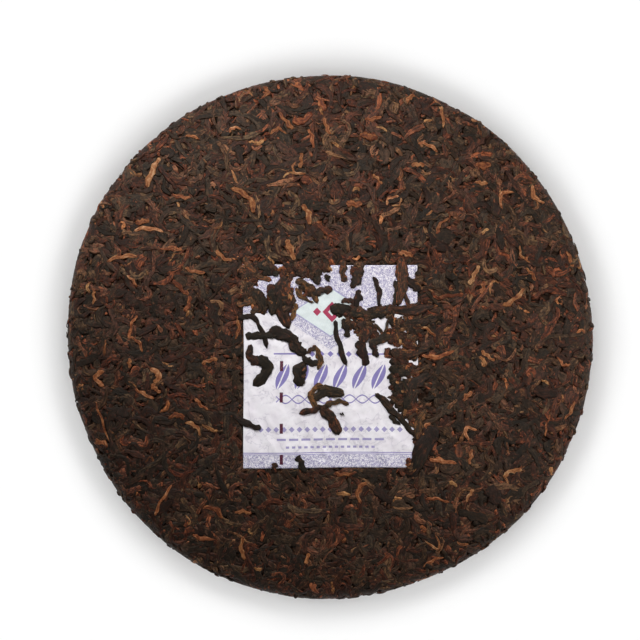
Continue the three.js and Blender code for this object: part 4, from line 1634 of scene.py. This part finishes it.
@dataclass(frozen=True)
class TeaBed:
    """The pressed mass under the leaves, a lathed disc with clumps all over it."""

    rings: int = 170
    sides: int = 200
    depth: float = 0.48
    clump: float = 0.3
    map_weld: float = 1e-4
    weld: float = 1e-3 * MM

    def build(self, surface: CakeSurface) -> bpy.types.Object:
        """Makes the bed by turning a radius round the map of the whole surface.

        Args:
            surface: The cake's surface.

        Returns:
            The bed.
        """
        bm = bmesh.new()
        step = surface.length / self.rings
        radius = [bm.verts.new((step * ring, 0.0, 0.0)) for ring in range(self.rings + 1)]
        edges = [bm.edges.new(pair) for pair in zip(radius, radius[1:])]
        bmesh.ops.spin(bm, geom=radius + edges, cent=(0, 0, 0), axis=(0, 0, 1),
                       angle=TURN, steps=self.sides, use_merge=True)
        bmesh.ops.remove_doubles(bm, verts=bm.verts, dist=self.map_weld)
        for vertex in bm.verts:
            x, y, _ = vertex.co
            vertex.co = surface.place(Side.TOP, x, y, self._height(vertex.co)) * MM
        bmesh.ops.remove_doubles(bm, verts=bm.verts, dist=self.weld)
        bmesh.ops.recalc_face_normals(bm, faces=bm.faces)
        points, corners, starts = mesh_arrays(bm)
        piece = mesh_piece("tea_bed", points / MM, corners, starts, {},
                           BedFinish().material())
        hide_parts("cake")
        return piece

    def _height(self, place: Vector) -> float:
        """How far the bed lies from the core at a place on the map."""
        clumps = noise.noise(place * 0.3) + 0.6 * noise.noise(place * 0.75)
        return self.clump * clumps - self.depth


@dataclass(frozen=True)
class Lamp:
    """A soft round lamp near the cake: its place in metres, size, power and colour."""

    name: str
    place: Triple
    size: float
    power: float
    colour: Triple = (1.0, 1.0, 1.0)


@dataclass(frozen=True)
class Studio:
    """A white floor in a white room, lamps over the cake, and the camera straight above.

    The walls fade into the ceiling between two heights on a dome of radius 1. A ring of wide
    lamps shines on the floor alone, and its rise and softness are in degrees.
    """

    look_at: Pair = (-3.42, 6.33)
    frame_width: float = 242.4
    focus_height: float = 7.6
    camera_height: float = 1600.0
    floor_size: float = 12.0
    far_clip: float = 50.0
    floor_white: Colour = (0.9, 0.9, 0.9, 1.0)
    walls: float = 1.0
    ceiling: float = 0.06
    wall_top: Pair = (0.08, 0.2)
    ring_lamps: int = 8
    ring_rise: float = 42.0
    ring_softness: float = 26.0
    ring_strength: float = 0.62
    lamps: tuple[Lamp, ...] = (
        Lamp("top_lamp", (-0.15, 0.29, 0.33), 0.22, 2.14, (0.97, 1.0, 1.04)),
        Lamp("right_lamp", (0.3, -0.03, 0.18), 0.15, 0.55),
    )

    def build(self) -> None:
        """Sets up the floor, the lights and the camera."""
        floor = self._floor()
        self._room()
        self._lamps_over_cake(floor)
        self._ring_over_floor(floor)
        self._camera()

    def _floor(self) -> bpy.types.Object:
        """Lays a wide plain floor.

        Returns:
            The floor.
        """
        bm = bmesh.new()
        bmesh.ops.create_grid(bm, x_segments=8, y_segments=8, size=self.floor_size / 2)
        mesh = bpy.data.meshes.new("floor")
        bm.to_mesh(mesh)
        bm.free()
        bench = NodeBench("floor_white")
        mesh.materials.append(bench.finish(Base_Color=self.floor_white, Roughness=0.9,
                                           Specular_IOR_Level=0.0))
        floor = bpy.data.objects.new("floor", mesh)
        bpy.context.scene.collection.objects.link(floor)
        return floor

    def _room(self) -> None:
        """White walls all round and a dimmer ceiling, far away."""
        world = bpy.data.worlds.new("white_room")
        world.use_nodes = True
        tree = world.node_tree
        direction = tree.nodes.new("ShaderNodeTexCoord")
        parts = tree.nodes.new("ShaderNodeSeparateXYZ")
        fade = tree.nodes.new("ShaderNodeMapRange")
        fade.interpolation_type = "SMOOTHSTEP"
        for number, value in enumerate((*self.wall_top, self.walls, self.ceiling), 1):
            fade.inputs[number].default_value = value
        tree.links.new(direction.outputs["Generated"], parts.inputs[0])
        tree.links.new(parts.outputs["Z"], fade.inputs[0])
        background = tree.nodes["Background"]
        background.inputs["Color"].default_value = WHITE
        tree.links.new(fade.outputs[0], background.inputs["Strength"])
        scene = bpy.context.scene
        scene.world = world
        scene.view_settings.view_transform = "Standard"

    def _light(self, lamps: Sequence[bpy.types.Object], floor: bpy.types.Object,
               what: Lit) -> None:
        """Limits what lamps light.

        Args:
            lamps: The lamps.
            floor: The floor.
            what: What they light.
        """
        group = bpy.data.collections.new(f"floor_{what.value.lower()}")
        group.objects.link(floor)
        group.collection_objects[0].light_linking.link_state = what.value
        for lamp in lamps:
            lamp.light_linking.receiver_collection = group

    def _lamps_over_cake(self, floor: bpy.types.Object) -> None:
        """Hangs soft lamps that light the cake more at the picture's top and right.

        Args:
            floor: The floor, which they spare.
        """
        made = []
        for lamp in self.lamps:
            light = bpy.data.lights.new(lamp.name, "AREA")
            light.shape = "DISK"
            light.size = lamp.size
            light.energy = lamp.power
            light.color = lamp.colour
            made.append(self._hang(light, Vector(lamp.place)))
        self._light(made, floor, Lit.ALL_BUT_FLOOR)

    def _ring_over_floor(self, floor: bpy.types.Object) -> None:
        """Hangs a ring of wide lamps that gives the floor its even soft shade round the cake.

        Args:
            floor: The floor, which they light alone.
        """
        made = []
        rise = math.radians(self.ring_rise)
        for number in range(self.ring_lamps):
            turn = TURN * (number + 0.5) / self.ring_lamps
            light = bpy.data.lights.new(f"low_ring_lamp_{number + 1}", "SUN")
            light.angle = math.radians(self.ring_softness)
            light.energy = self.ring_strength
            place = Vector((math.cos(turn) * math.cos(rise), math.sin(turn) * math.cos(rise),
                            math.sin(rise)))
            made.append(self._hang(light, place))
        self._light(made, floor, Lit.FLOOR_ALONE)

    @staticmethod
    def _hang(light: bpy.types.Light, place: Vector) -> bpy.types.Object:
        """Hangs a lamp, aimed at the cake and hidden from the camera.

        Args:
            light: The lamp's light.
            place: Where it hangs, in metres.

        Returns:
            The lamp.
        """
        lamp = bpy.data.objects.new(light.name, light)
        lamp.location = place
        lamp.rotation_euler = (-place).to_track_quat("-Z", "Y").to_euler()
        lamp.visible_camera = False
        bpy.context.scene.collection.objects.link(lamp)
        return lamp

    def _camera(self) -> None:
        """A long lens that looks straight down, with +Y at the top of the picture."""
        lens = bpy.data.cameras.new("camera")
        reach = self.camera_height - self.focus_height
        lens.lens = lens.sensor_width * reach / self.frame_width
        lens.clip_end = self.far_clip
        camera = bpy.data.objects.new("camera", lens)
        camera.location = (self.look_at[0] * MM, self.look_at[1] * MM, self.camera_height * MM)
        bpy.context.scene.collection.objects.link(camera)
        bpy.context.scene.camera = camera


def main() -> None:
    """Builds the cake, its leaves, its ticket and the studio."""
    logging.basicConfig(level=logging.INFO, format="%(name)s %(message)s")
    surface = CakeSurface()
    ticket = Ticket()
    press = LeafPress(surface, ticket)
    TeaBed().build(surface)
    ticket.build(surface)
    for kind in LEAF_KINDS:
        lines = [kind.lines(side, surface, ticket) for side in Side]
        press.join(kind.name, kind.blank, lines, kind.finish)
    StandOutLeaves(press).build()
    CoverLeaves(press).build()
    Studio().build()


if __name__ == "__main__":
    main()
